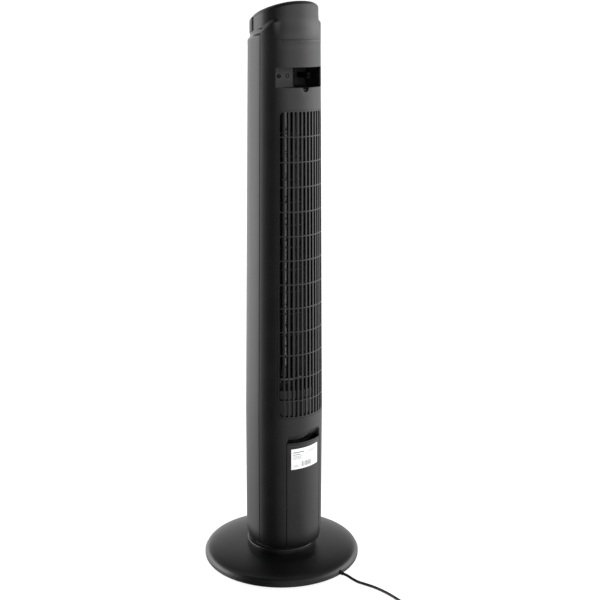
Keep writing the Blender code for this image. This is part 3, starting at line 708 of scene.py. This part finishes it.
def make_base():
    """The round foot: a shallow dome with a rolled edge, open underneath."""
    edge = BASE_HIGH.x
    hub = COLLAR_HIGH.x
    top = BASE_HIGH.z
    outline = [(hub - 0.0175, top), (hub + 0.0030, top), (0.0800, top - 0.0003), (0.0950, top - 0.0012)]
    outline += [(0.1100, top - 0.0025), (0.1230, top - 0.0041), (0.1320, top - 0.0059)]
    outline += [(0.1370, top - 0.0076), (0.1400, top - 0.0094), (0.1420, top - 0.0116)]
    outline += [(0.1431, top - 0.0140), (edge, top - 0.0165), (edge, 0.0085), (edge - 0.0004, 0.0070)]
    outline += [(edge - 0.0014, 0.0056), (edge - 0.0026, BASE_LOW.z)]
    inner = edge - WALL
    outline += [(inner - 0.0010, BASE_LOW.z + 0.0004), (inner - 0.0012, 0.0120), (0.1370, 0.0175)]
    outline += [(0.1250, top - 0.0069), (0.0950, top - 0.0040), (0.0700, top - WALL)]
    outline += [(hub - 0.0175, top - WALL)]
    base = lathe("base_dome", outline, 192)
    turn = Matrix.Rotation(math.radians(LEAD_ANGLE), 4, "Z")
    relief_low, relief_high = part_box("strain_relief")
    height = (relief_low.z + relief_high.z) / 2
    drill = [(0, 0.1300), (0.0047, 0.1300), (0.0047, 0.1600), (0, 0.1600)]
    place = Matrix.Translation((0, 0, height)) @ turn @ Matrix.Rotation(-math.pi / 2, 4, "X")
    cut(base, [lathe("lead_drill", drill, 32, place, closed=False)])
    dress(settle(base, smooth=30), SATIN, "base", "satin_black", "base_cover")

    low, high = COLLAR_LOW.z, COLLAR_HIGH.z
    collar = [(hub - 0.0170, low), (hub, low), (hub, high - 0.0022)]
    collar += arc((hub - 0.0020, high - 0.0020), 0.0020, 6, 84, 5)
    collar += [(hub - 0.0170, high)]
    dress(settle(lathe("collar_ring", collar, 160)), SATIN, "base", "satin_black", "swivel_collar")

    for k in range(5):
        foot_low, foot_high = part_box(f"foot_{k + 1}")
        middle = (foot_low + foot_high) / 2
        radius = (foot_high.x - foot_low.x) / 2
        depth = foot_high.z
        pad = [(0, depth), (radius, depth), (radius, 0.0010), (radius - 0.0008, 0.0002)]
        pad += [(radius - 0.0016, 0.0), (radius - 0.0030, 0.0004), (0, 0.0004)]
        place = Matrix.Translation((middle.x, middle.y, 0))
        foot = settle(lathe(f"foot_pad_{k + 1}", pad, 40, place, closed=False))
        dress(foot, RUBBER, "base", "rubber", f"foot_{k + 1}")


def rolled_top(angle, z):
    """How far the shells' top closes in to the cap: by a long taper at the rear, a roll elsewhere."""
    below = rim(angle) - z
    taper = ease((0.038 - below) / 0.036)
    roll = ease((0.0115 - below) / 0.0065)
    share = taper + (roll - taper) * ease((abs(angle) - 40) / 14)
    return share * (column_radius(z) - CAP_RADIUS - 0.0003)


def rear_relief(angle, z):
    """The rear shell's modelling: its rolled top, crease, notch dimple and scoop ramp."""
    inset = rolled_top(angle, z)
    ends = 1 - ease((abs(angle) - (CREASE_ANGLE - 6)) / 8)
    groove = math.exp(-((z - CREASE_HEIGHT) / 0.0011) ** 2)
    hollow = math.exp(-((z - CREASE_HEIGHT + 0.0075) / 0.0050) ** 2)
    inset += ends * (0.0004 * groove + 0.0003 * hollow)
    across = math.radians(angle) * MEAN_RADIUS
    dimple = math.hypot(across, z - NOTCH_HEIGHT) / 0.0150
    inset += 0.0007 * (1 - ease(dimple)) * (z < HANDLE_BOTTOM + 0.001)
    inside = -opening(angle, z, COVER_ANGLE, 0.0, SCOOP_TOP, SCOOP_CORNER)
    fullness = 5.0 - 3.9 * ease((angle + 20) / 30)
    ramp = min(max((SCOOP_TOP - 0.0010 - z) / (SCOOP_TOP - COVER_TOP - 0.0020), 0.0), 1.0)
    inset += 0.0098 * ramp ** fullness * ease(inside / 0.0022)
    return inset + tuck(angle, z)


def rear_openings(angle, z):
    """Distance to the nearest of the rear shell's openings, negative inside one."""
    handle = opening(angle, z, HANDLE_ANGLE, HANDLE_BOTTOM, HANDLE_TOP, HANDLE_CORNER)
    across = math.radians(angle) * MEAN_RADIUS
    notch = math.hypot(across, z - NOTCH_HEIGHT) - NOTCH_RADIUS
    grille = opening(angle, z, GRILLE_ANGLE + 0.3, GRILLE_BOTTOM - 0.0003, GRILLE_TOP + 0.0003, GRILLE_CORNER)
    cover = opening(angle, z, COVER_ANGLE + 0.7, 0.0, COVER_TOP + 0.0010, COVER_CORNER)
    return min(handle, notch, grille, cover)


def shell_ends(rows, angle, z, bottom):
    """Stretches the grid's lowest and highest rows to the shell's real ends."""
    roof = rows[-1]
    if z < TUCK_TOP:
        z = bottom + (z - rows[0]) * (TUCK_TOP - bottom) / (TUCK_TOP - rows[0])
    return z if z < roof - 0.03 else z + (rim(angle) - roof) * (z - roof + 0.03) / 0.03


def make_rear_shell():
    """The rear half of the column, with its openings and the scoop over the cover."""
    limit = SEAM_ANGLE - SEAM_GAP / 2
    inner = [(-53, 1.5), (-HANDLE_ANGLE, 1.3), (-GRILLE_ANGLE - 0.3, 1.4), (-COVER_ANGLE - 0.7, 0.35)]
    inner += [(-COVER_ANGLE + 1.7, 0.6), (-COVER_ANGLE + 6.5, 1.5), (COVER_ANGLE - 6.5, 0.6)]
    inner += [(COVER_ANGLE - 1.7, 0.35), (COVER_ANGLE + 0.7, 1.4)]
    inner += [(GRILLE_ANGLE + 0.3, 1.3), (HANDLE_ANGLE, 1.5), (53, 2.0), (limit, 1)]
    columns = spread([(-limit, 2.0)] + inner)
    stops = [(REAR_BOTTOM, 0.0016), (TUCK_TOP, 0.014), (COVER_TOP - 0.008, 0.0012)]
    stops += [(COVER_TOP + 0.0010, 0.0010), (SCOOP_TOP + 0.001, 0.004), (GRILLE_BOTTOM - 0.0003, 0.0014)]
    stops += [(GRILLE_BOTTOM + 0.014, 0.016), (GRILLE_TOP - 0.014, 0.0014), (GRILLE_TOP + 0.0003, 0.003)]
    stops += [(NOTCH_HEIGHT - 0.012, 0.0011), (HANDLE_BOTTOM, 0.0011), (HANDLE_BOTTOM + 0.004, 0.005)]
    stops += [(HANDLE_TOP - 0.004, 0.0011), (HANDLE_TOP, 0.0030), (CREASE_HEIGHT - 0.018, 0.0015)]
    stops += [(CREASE_HEIGHT - 0.0035, 0.0005), (CREASE_HEIGHT + 0.0035, 0.0015)]
    stops += [(REAR_HIGH.z - 0.030, 0.0024), (REAR_HIGH.z - 0.012, 0.0012), (REAR_HIGH.z, 1)]
    rows = spread(stops)

    def position(angle, z):
        skirt = ease((abs(angle) - 45) / 30)
        bottom = REAR_BOTTOM + (FRONT_BOTTOM - REAR_BOTTOM) * skirt
        height = shell_ends(rows, angle, z, bottom)
        return column_point(angle, height, rear_relief(angle, height))

    shell = skin("rear_shell_moulding", columns, rows, position, rear_openings)
    settle(shell, wall=WALL, bevel=0.0005)
    dress(shell, SATIN, "column", "satin_black", "rear_shell")


def make_front_shell():
    """The front half of the column, open for the outlet grille."""
    first = SEAM_ANGLE + SEAM_GAP / 2
    outlet = 180 - GRILLE_ANGLE - 0.3
    columns = spread([(first, 2.5), (outlet - 3, 1.4), (outlet + 14, 3.0), (346 - outlet, 1.4),
                      (363 - outlet, 2.5), (360 - first, 1)])
    stops = [(FRONT_BOTTOM, 0.0016), (TUCK_TOP, 0.016), (OUTLET_BOTTOM - 0.0003, 0.0014)]
    stops += [(OUTLET_BOTTOM + 0.017, 0.016), (OUTLET_TOP - 0.017, 0.0014), (OUTLET_TOP + 0.0003, 0.010)]
    stops += [(SHELL_HIGH.z - 0.030, 0.0024), (SHELL_HIGH.z - 0.012, 0.0012), (SHELL_HIGH.z, 1)]
    rows = spread(stops)

    def position(angle, z):
        height = shell_ends(rows, angle, z, FRONT_BOTTOM)
        return column_point(angle, height, rolled_top(angle, height) + tuck(angle, height))

    def edge(angle, z):
        low, high = OUTLET_BOTTOM - 0.0003, OUTLET_TOP + 0.0003
        return opening(angle - 180, z, GRILLE_ANGLE + 0.3, low, high, OUTLET_CORNER)

    shell = skin("front_shell_moulding", columns, rows, position, edge)
    settle(shell, wall=WALL, bevel=0.0005)
    dress(shell, SATIN, "column", "satin_black", "front_shell")


def make_grille(name, node, middle, low, high, corner, rings):
    """Upright slats and thin rings in one moulding, inside a narrow border with round corners."""
    slats = [SLAT_STEP * (k - (SLAT_COUNT - 1) / 2) for k in range(SLAT_COUNT)]
    half_slat = math.degrees(SLAT_WIDTH / 2 / MEAN_RADIUS)
    border = 0.0026

    def solid(angle, z):
        """Positive in the moulding, negative in a slot or outside the border."""
        angle -= middle
        near = min(abs(angle - slat) for slat in slats)
        slat = math.radians(near) * MEAN_RADIUS - SLAT_WIDTH / 2
        ring = min(abs(z - ring) for ring in rings) - RING_HEIGHT / 2
        outline = opening(angle, z, GRILLE_ANGLE, low, high, corner)
        slot = min(slat, ring, -outline - border)
        return min(-slot, -outline)

    angles = [(-GRILLE_ANGLE, 0.8), (slats[0] - half_slat, 1.3)]
    for slat, following in zip(slats, slats[1:]):
        angles += [(slat + half_slat, 1.6), (following - half_slat, 1.3)]
    angles += [(slats[-1] + half_slat, 0.8), (GRILLE_ANGLE, 1)]
    columns = [middle + angle for angle in spread(angles)]
    stops = {low: 0.0013, low + border: 0.0013, high - corner - border: 0.0013, high - border: 0.0013}
    stops[low + corner + border] = 0.020
    for z in rings:
        stops[z - RING_HEIGHT / 2] = 0.0010
        stops[z + RING_HEIGHT / 2] = 0.020
    ordered = sorted(stops.items())
    rows = []
    for (start, step), (following, _) in zip(ordered, ordered[1:]):
        near_end = start < low + corner + border - 1e-6 or start > high - corner - border - 1e-6
        rows.append((start, 0.0013 if near_end else step))
    rows += [(ordered[-1][0], 0.0013), (high, 1)]
    rows = spread(rows)
    grille = skin(name, columns, rows, lambda a, z: column_point(a, z, 0.0003), solid)
    settle(grille, wall=0.0030, bevel=0.0005)
    dress(grille, SATIN, "column", "satin_black", node)


def make_cover():
    """The service cover below the grille, with its label."""
    columns = spread([(-COVER_ANGLE, 1.4), (COVER_ANGLE, 1)])
    stops = [(REAR_BOTTOM, 0.0016), (TUCK_TOP, 0.014), (COVER_TOP - 0.006, 0.0010), (COVER_TOP, 1)]

    def position(angle, z):
        lip = math.exp(-((z - COVER_TOP + 0.0042) / 0.0009) ** 2)
        return column_point(angle, z, 0.0001 + 0.0005 * lip + tuck(angle, z))

    def edge(angle, z):
        return -opening(angle, z, COVER_ANGLE, -0.1, COVER_TOP, COVER_CORNER)

    cover = skin("service_cover", columns, spread(stops), position, edge)
    settle(cover, wall=WALL, bevel=0.0006)
    dress(cover, SATIN, "column", "satin_black", "lower_cover")

    low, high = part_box("scoop_wall")
    columns = spread([(-38, 2.0), (38, 1)])
    rows = spread([(low.z, 0.004), (high.z, 1)])
    wall = skin("scoop_back", columns, rows, lambda a, z: column_point(a, z, 0.0147))
    settle(wall, wall=0.0018, bevel=0.0004)
    dress(wall, MATT, "column", "inner_plastic", "scoop_wall")


def label_patch(name, first, last, low, high, corner, lift, material, wall):
    """A thin patch wrapped on the column, from one angle to another."""
    middle, half = (first + last) / 2, (last - first) / 2
    columns = spread([(first, 1.2), (last, 1)])
    step = 0.0012 if corner else high - low
    rows = spread([(low, step), (high, 1)])

    def edge(angle, z):
        return -opening(angle - middle, z, half, low, high, corner)

    outline = edge if corner else None
    laid = 0.00005
    patch = skin(name, columns, rows, lambda a, z: column_point(a, z + 0.0008 + laid * a, -lift), outline)
    settle(patch, wall=wall)
    return dress(patch, material, "column", "label")


def make_label():
    """The rating label, as a plain sticker with bars in place of any words."""
    low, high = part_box("rating_label")
    first, last = -24.9, 23.2
    sticker = label_patch("rating_sticker", first, last, low.z, high.z, 0.0020, 0.0005, FILM, 0.0003)
    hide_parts("rating_label")
    width = last - first
    tall = high.z - low.z
    lines = [(0.06, 0.42, 0.80, 0.045), (0.06, 0.30, 0.70, 0.030), (0.06, 0.36, 0.62, 0.018)]
    lines += [(0.06, 0.33, 0.56, 0.018), (0.06, 0.38, 0.50, 0.018), (0.56, 0.92, 0.80, 0.018)]
    lines += [(0.56, 0.86, 0.74, 0.018), (0.06, 0.24, 0.12, 0.018), (0.06, 0.20, 0.18, 0.018)]
    for k, (left, right, height, thick) in enumerate(lines):
        ends = (first + width * left, first + width * right)
        base = low.z + tall * height
        label_patch(f"label_rule_{k + 1}", *ends, base, base + tall * thick, 0, 0.0006, INK, 0.00008)
    widths = random.Random(7)
    at = 0.34
    number = 0
    while at < 0.70:
        number += 1
        bar = widths.choice((0.006, 0.006, 0.012, 0.018))
        ends = (first + width * at, first + width * (at + bar))
        spot = (low.z + tall * 0.10, low.z + tall * 0.34)
        label_patch(f"label_bar_{number}", *ends, *spot, 0, 0.0006, INK, 0.00008)
        at += bar + widths.choice((0.008, 0.012, 0.016))


def make_handle():
    """The hand recess: a cup with round corners, two grip ribs, and a deeper part on its -X side,
    where a boss holds the screw.
    """
    low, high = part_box("handle_pocket")
    bottom, top = low.z + 0.0022, high.z - 0.0022
    back = low.y + 0.0020
    half = high.x - 0.0022
    mouth_radius = column_radius(HANDLE_TOP) - WALL - 0.0008
    reach = half - 0.0002
    section = [(0, 0.0), (0.20, 0.0), (0.26, 0.045), (0.32, 0.0), (0.52, 0.0), (0.58, 0.045), (0.64, 0.0)]
    section += [(0.86, 0.0), (0.93, 0.02), (0.98, 0.08), (1.0, 0.18), (1.0, 0.5), (1.0, 0.82)]
    section += [(0.98, 0.92), (0.93, 0.98), (0.86, 1.0), (0.5, 1.0), (0.0, 1.0)]
    columns = spread([(-reach, 0.0007), (-reach + 0.005, 0.0025), (-0.021, 0.0012), (0.006, 0.0025),
                      (reach - 0.005, 0.0007), (reach, 1)])
    bm = bmesh.new()
    grid = []
    for x in columns:
        mouth = COLUMN_Y + math.sqrt(mouth_radius ** 2 - x * x)
        near_end = 1 - min((reach - abs(x)) / 0.005, 1.0)
        far = back - RECESS_STEP * ease((0.005 - x) / 0.026)
        floor = far + (mouth - far) * (1 - math.sqrt(max(1 - near_end ** 2, 0.0))) * 0.98
        spots = [(x, mouth + (floor - mouth) * w, bottom + (top - bottom) * h) for w, h in section]
        grid.append([bm.verts.new(spot) for spot in spots])
    for one, other in zip(grid, grid[1:]):
        for k in range(len(section) - 1):
            bm.faces.new([one[k], other[k], other[k + 1], one[k + 1]])
    bmesh.ops.recalc_face_normals(bm, faces=bm.faces)
    cup = piece("hand_recess_cup", bm)
    middle = cup.data.polygons[len(cup.data.polygons) // 2]
    if middle.normal.y < 0:
        cup.data.flip_normals()
    settle(cup, wall=0.0018, smooth=45, even=False)
    dress(cup, MATT, "column", "inner_plastic", "handle_pocket")
    funnel = [(0.0034, 0.0003), (0.0026, 0.0003), (0.0022, -0.0050), (0.0, -0.0050)]
    place = Matrix.Translation((RECESS_HOLE_X, back, RECESS_HOLE_HEIGHT))
    place = place @ Matrix.Rotation(-math.pi / 2, 4, "X")
    hole = settle(lathe("recess_screw_hole", funnel, 24, place, closed=False), wall=0.0003)
    dress(hole, BLACK_ZINC, "column", "inner_plastic")
    for name in ("handle_screw_left", "handle_screw_right"):
        screw_low, screw_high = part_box(name)
        middle = (screw_low + screw_high) / 2
        profile = [(0.0034, -0.0010), (0.0034, 0.0008), (0.0030, 0.0014), (0.0022, 0.0016)]
        profile += [(0.0018, 0.0006), (0.0016, -0.0006), (0.0, -0.0006)]
        if middle.x < 0:
            boss = [(0.0050, 0.0005 - RECESS_STEP), (0.0046, -0.0010)]
            profile = boss + profile
        place = Matrix.Translation((middle.x, back + 0.0002, middle.z))
        place = place @ Matrix.Rotation(-math.pi / 2, 4, "X")
        screw = settle(lathe(name + "_head", profile, 24, place, closed=False), wall=0.0003)
        dress(screw, BLACK_ZINC, "column", "steel", name)


def dome(radius):
    """Height of the cap's crown before it leans."""
    crown = 0.0118
    peak = CAP_HIGH.z - 0.0076
    return peak - crown * (radius / CAP_RADIUS) ** 2


def lean_matrix():
    """Leans the cap towards the front, and keeps it round seen from above."""
    lean = Matrix.Identity(4)
    lean[2][1] = CAP_SLOPE
    return Matrix.Translation((0, COLUMN_Y, 0)) @ lean


def make_cap():
    """The domed cap, its fascia, window, buttons and printed symbols."""
    wall = 0.0022
    edge = CAP_RADIUS - 0.0045
    profile = [(CAP_RADIUS * k / 24, dome(CAP_RADIUS * k / 24)) for k in range(22)]
    shoulder = dome(edge)
    profile += [(edge, shoulder), (CAP_RADIUS - 0.0026, shoulder - 0.0011)]
    profile += [(CAP_RADIUS - 0.0011, shoulder - 0.0025), (CAP_RADIUS - 0.0003, shoulder - 0.0043)]
    profile += [(CAP_RADIUS, shoulder - 0.0055), (CAP_RADIUS - 0.0006, shoulder - 0.0058)]
    profile += [(CAP_RADIUS - 0.0006, shoulder - 0.0064), (CAP_RADIUS, shoulder - 0.0067)]
    skirt = CAP_LOW.z + CAP_SLOPE * CAP_RADIUS
    profile += [(CAP_RADIUS, skirt), (CAP_RADIUS - wall, skirt)]
    profile += [(CAP_RADIUS - wall, shoulder - 0.0070), (edge - 0.002, shoulder - 0.0036)]
    profile += [(CAP_RADIUS * k / 6, dome(CAP_RADIUS * k / 6) - wall) for k in (4, 2, 0)]
    cap = lathe("cap_dome", profile, 160, lean_matrix(), closed=False)
    tilt = Matrix.Rotation(math.atan(CAP_SLOPE), 4, "X")
    tools = []
    for k in range(5):
        low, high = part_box(f"button_{k + 1}")
        spot = Vector(((low.x + high.x) / 2, high.y - 0.0045, high.z))
        drill = [(0, -0.012), (0.00485, -0.012), (0.00485, 0.006), (0, 0.006)]
        tools.append(lathe(f"drill_{k + 1}", drill, 40, Matrix.Translation(spot) @ tilt, closed=False))
    low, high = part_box("display_lens")
    middle = (low + high) / 2
    place = Matrix.Translation(middle) @ tilt
    sections = []
    for height in (-0.008, 0.008):
        loop = rounded_loop(0.0348, 0.0138, 0.0030)
        sections.append([place @ Vector((a, b, height)) for a, b in loop])
    tools.append(loft("window_tool", sections))
    cut(cap, tools)
    settle(cap, bevel=0.00025, segments=1, smooth=32)
    dress(cap, SATIN, "column", "satin_black", "top_cap")

    sections = []
    for height, trim in ((-0.0015, 0.0), (0.0011, 0.0), (0.0015, 0.0008)):
        loop = rounded_loop(0.0340 - trim, 0.0130 - trim, 0.0028)
        sections.append([place @ Vector((a, b, height)) for a, b in loop])
    window = settle(loft("display_window", sections), smooth=30)
    dress(window, ACRYLIC, "column", "gloss_black", "display_lens")

    for k in range(5):
        name = f"button_{k + 1}"
        low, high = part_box(name)
        radius = (high.x - low.x) / 2
        stem = 0.0140
        shape = [(0, -stem), (radius, -stem), (radius, -0.0008)]
        shape += arc((radius - 0.0008, -0.0008), 0.0008, 0, 80, 4)
        shape += [(radius * 0.6, -0.0003), (radius * 0.3, -0.0005), (0, -0.0006)]
        lean = math.atan(CAP_SLOPE)
        top = Vector(((low.x + high.x) / 2, high.y - radius * math.cos(lean), 0))
        top.z = high.z - radius * math.sin(lean)
        place = Matrix.Translation(top) @ tilt
        button = settle(lathe(f"push_button_{k + 1}", shape, 48, place, closed=False))
        dress(button, SOFT_TOUCH, name, "button", name)
        make_symbol(k, place)

    columns = spread([(FASCIA_ANGLE, 2.0), (360 - FASCIA_ANGLE, 1)])
    heights = spread([(0.0, 0.2), (1.0, 1)])

    def position(angle, share):
        turn = math.radians(angle)
        radius = CAP_RADIUS + 0.0014 - 0.0002 * (2 * share - 1) ** 2
        x, y = -radius * math.sin(turn), COLUMN_Y + radius * math.cos(turn)
        low, high = rim(angle) + 0.0005, shoulder - 0.0050 + CAP_SLOPE * (y - COLUMN_Y)
        return Vector((x, y, low + (high - low) * share))

    band = skin("fascia_band", columns, heights, position)
    settle(band, wall=0.0011, bevel=0.0004)
    dress(band, GLOSS, "column", "gloss_black", "front_fascia")


def make_symbol(k, place):
    """A plain raised mark on a button, in place of an icon: a few dots, or a ring."""
    name = f"button_mark_{k + 1}"
    if k == 2:
        ring = [(0.0006, -0.00045), (0.0010, -0.00045), (0.0010, -0.00015), (0.0006, -0.00015)]
        mark = lathe(name, ring, 32, place)
    else:
        pairs = [(-0.0007, 0), (0.0007, 0)]
        spots = (pairs, pairs + [(0, 0)], [], pairs + [(0, -0.0007)], pairs + [(0, 0.0007), (0, -0.0007)])[k]
        bm = bmesh.new()
        for x, y in spots:
            shape = Matrix.Translation(place @ Vector((x, y, -0.0003))) @ place.to_3x3().to_4x4()
            bmesh.ops.create_cone(
                bm, cap_ends=True, segments=20, radius1=0.00032, radius2=0.00026, depth=0.0003, matrix=shape
            )
        mark = piece(name, bm)
    dress(settle(mark), PRINT, f"button_{k + 1}", "button")


def make_wheel():
    """The tangential wheel: forward-curved blades between thin rings."""
    low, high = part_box("impeller")
    radius = high.x
    depth = 0.0072
    blades, stages, ring = 36, 12, 0.0016
    bm = bmesh.new()
    curve = []
    for k in range(6):
        share = k / 5
        curve.append((radius - 0.0004 - depth * share, math.radians(11 * share - 5 * share * share)))
    for b in range(blades):
        start = math.tau * b / blades
        sides = []
        for z in (low.z + 0.0004, high.z - 0.0004):
            line = []
            for side in (1, -1):
                spots = curve if side == 1 else curve[::-1]
                for r, turn in spots:
                    a = start + turn + side * 0.0004 / r
                    line.append(bm.verts.new((r * math.cos(a), COLUMN_Y + r * math.sin(a), z)))
            sides.append(line)
        count = len(sides[0])
        for k in range(count):
            nxt = (k + 1) % count
            bm.faces.new([sides[0][k], sides[0][nxt], sides[1][nxt], sides[1][k]])
        bm.faces.new(sides[0])
        bm.faces.new(sides[1])
    for k in range(stages + 1):
        z = low.z + (high.z - low.z - ring) * k / stages
        loops = []
        for r, height in ((radius, z), (radius, z + ring), (radius - depth, z + ring), (radius - depth, z)):
            turns = [math.tau * i / 96 for i in range(96)]
            spots = [(r * math.cos(a), COLUMN_Y + r * math.sin(a), height) for a in turns]
            loops.append([bm.verts.new(spot) for spot in spots])
        for one, other in zip(loops, loops[1:] + loops[:1]):
            for i in range(96):
                nxt = (i + 1) % 96
                bm.faces.new([one[i], one[nxt], other[nxt], other[i]])
    bmesh.ops.recalc_face_normals(bm, faces=bm.faces)
    wheel = settle(piece("blower_wheel", bm), smooth=40)
    dress(wheel, MATT, "impeller", "inner_plastic", "impeller")


def make_shroud():
    """A curved shield behind the foot of the grille, hiding the motor."""
    low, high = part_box("motor_housing")
    columns = spread([(-50, 2.5), (50, 1)])
    rows = spread([(low.z, 0.010), (high.z + 0.0035, 1)])
    shield = skin("motor_shield", columns, rows, lambda a, z: column_point(a, z, 0.0062))
    settle(shield, wall=0.0016, bevel=0.0004)
    dress(shield, SATIN, "column", "inner_plastic")


def finish_inside():
    """Gives the plain inner parts, which keep their shape, their real finishes."""
    finishes = {
        "satin_black": SATIN,
        "gloss_black": GLOSS,
        "inner_plastic": MATT,
        "rubber": RUBBER,
        "steel": STEEL,
        "iron_weight": IRON,
        "copper_winding": COPPER,
        "brass": BRASS,
        "circuit_board": BOARD,
        "label": FILM,
        "button": SOFT_TOUCH,
    }
    for name, node in NODES.items():
        slot = node.data.materials[0].name.split(".")[0]
        node.data.materials[0] = finishes[slot]
    NODES["impeller_hub"].data.materials[0] = STEEL


def make_stage():
    """A seamless pale floor, wide enough for every view."""
    bm = bmesh.new()
    bmesh.ops.create_grid(bm, x_segments=8, y_segments=8, size=30.0)
    bmesh.ops.translate(bm, verts=bm.verts, vec=(0, 0, -0.0005))
    floor = piece("studio_floor", bm)
    floor.data.materials.append(PAPER)
    floor.visible_glossy = False


def ramp_of(tree, factor, stops):
    """A brightness from a 0 to 1 factor, by (factor, brightness) stops."""
    brightest = max(level for _, level in stops)
    ramp = add(tree, "ValToRGB", {"Fac": factor})
    while len(ramp.color_ramp.elements) < len(stops):
        ramp.color_ramp.elements.new(0.5)
    for element, (place, _) in zip(ramp.color_ramp.elements, stops):
        element.position = place
    for element, (_, level) in zip(ramp.color_ramp.elements, stops):
        share = level / brightest
        element.color = (share, share, share, 1)
    return add(tree, "Math", {0: ramp.outputs["Color"], 1: brightest}, operation="MULTIPLY").outputs[0]


def make_light():
    """Soft light from all round the fan, as from tall panels: by azimuth in degrees from the
    camera's side, anticlockwise from above, and by the steepness of the direction.
    """
    panels = [(-180, 1.0), (-150, 1.3), (-124, 2.0), (-106, 2.9), (-92, 3.3), (-81, 3.3), (-77, 1.2)]
    panels += [(-72, 0.65), (-66, 0.3), (-56, 0.18), (-46, 0.05), (-26, 0.06), (-17, 0.35), (-7, 0.5)]
    panels += [(2, 0.75), (12, 1.0), (31, 1.17), (51, 1.3), (62, 1.6), (73, 1.95), (85, 2.4), (115, 2.2)]
    panels += [(135, 1.3), (150, 0.95), (180, 0.9)]
    heights = [(-1.0, 0.25), (-0.5, 0.3), (-0.41, 0.42), (-0.35, 0.63), (-0.25, 0.97), (-0.16, 1.05)]
    heights += [(-0.06, 0.9), (0.0, 0.9), (0.12, 1.3), (0.24, 1.7), (0.33, 0.95), (0.46, 0.26)]
    heights += [(0.6, 0.16), (1.0, 0.14)]
    world = bpy.data.worlds.new("studio")
    world.use_nodes = True
    bpy.context.scene.world = world
    tree = world.node_tree
    around = add(tree, "TexCoord").outputs["Generated"]
    toward_camera = math.atan2(-CAMERA_HEADING.y, -CAMERA_HEADING.x)
    turned = add(tree, "Mapping", {"Vector": around, "Rotation": (0, 0, -toward_camera)})
    azimuth = add(tree, "TexGradient", {"Vector": turned.outputs["Vector"]}, gradient_type="RADIAL")
    sides = [(degrees / 360 + 0.5, level) for degrees, level in panels]
    side_light = ramp_of(tree, azimuth.outputs["Fac"], sides)
    steep = add(tree, "SeparateXYZ", {"Vector": around}).outputs["Z"]
    steepness = add(tree, "MapRange", {"Value": steep, "From Min": -1.0}).outputs["Result"]
    levels = [(height / 2 + 0.5, level) for height, level in heights]
    height_light = ramp_of(tree, steepness, levels)
    light = add(tree, "Math", {0: side_light, 1: height_light}, operation="MULTIPLY")
    ring = tree.nodes["Background"]
    ring.inputs["Color"].default_value = (1, 1, 1, 1)
    tree.links.new(light.outputs[0], ring.inputs["Strength"])
    paper = add(tree, "Background", {"Color": (1, 1, 1, 1), "Strength": 1.1})
    path = add(tree, "LightPath")
    chosen = add(tree, "MixShader", {0: path.outputs["Is Camera Ray"]})
    tree.links.new(ring.outputs[0], chosen.inputs[1])
    tree.links.new(paper.outputs[0], chosen.inputs[2])
    tree.links.new(chosen.outputs[0], tree.nodes["World Output"].inputs["Surface"])
    bpy.context.scene.view_settings.view_transform = "Standard"


make_camera()
lead, lead_exit = make_lead()
relief = make_relief()
plug_pieces = make_plug()
tie = make_tie()
make_base()
make_rear_shell()
make_front_shell()
ring_heights = [RING_FIRST + RING_STEP * k for k in range(RING_COUNT)]
make_grille("inlet_grille", "rear_grille", 0, GRILLE_BOTTOM, GRILLE_TOP, GRILLE_CORNER, ring_heights)
outlet_rings = [OUTLET_BOTTOM + (OUTLET_TOP - OUTLET_BOTTOM) * (k + 1) / 14 for k in range(13)]
make_grille("outlet_grille", "front_grille", 180, OUTLET_BOTTOM, OUTLET_TOP, OUTLET_CORNER, outlet_rings)
make_cover()
make_label()
make_handle()
make_cap()
make_wheel()
make_shroud()
finish_inside()
make_stage()
make_light()
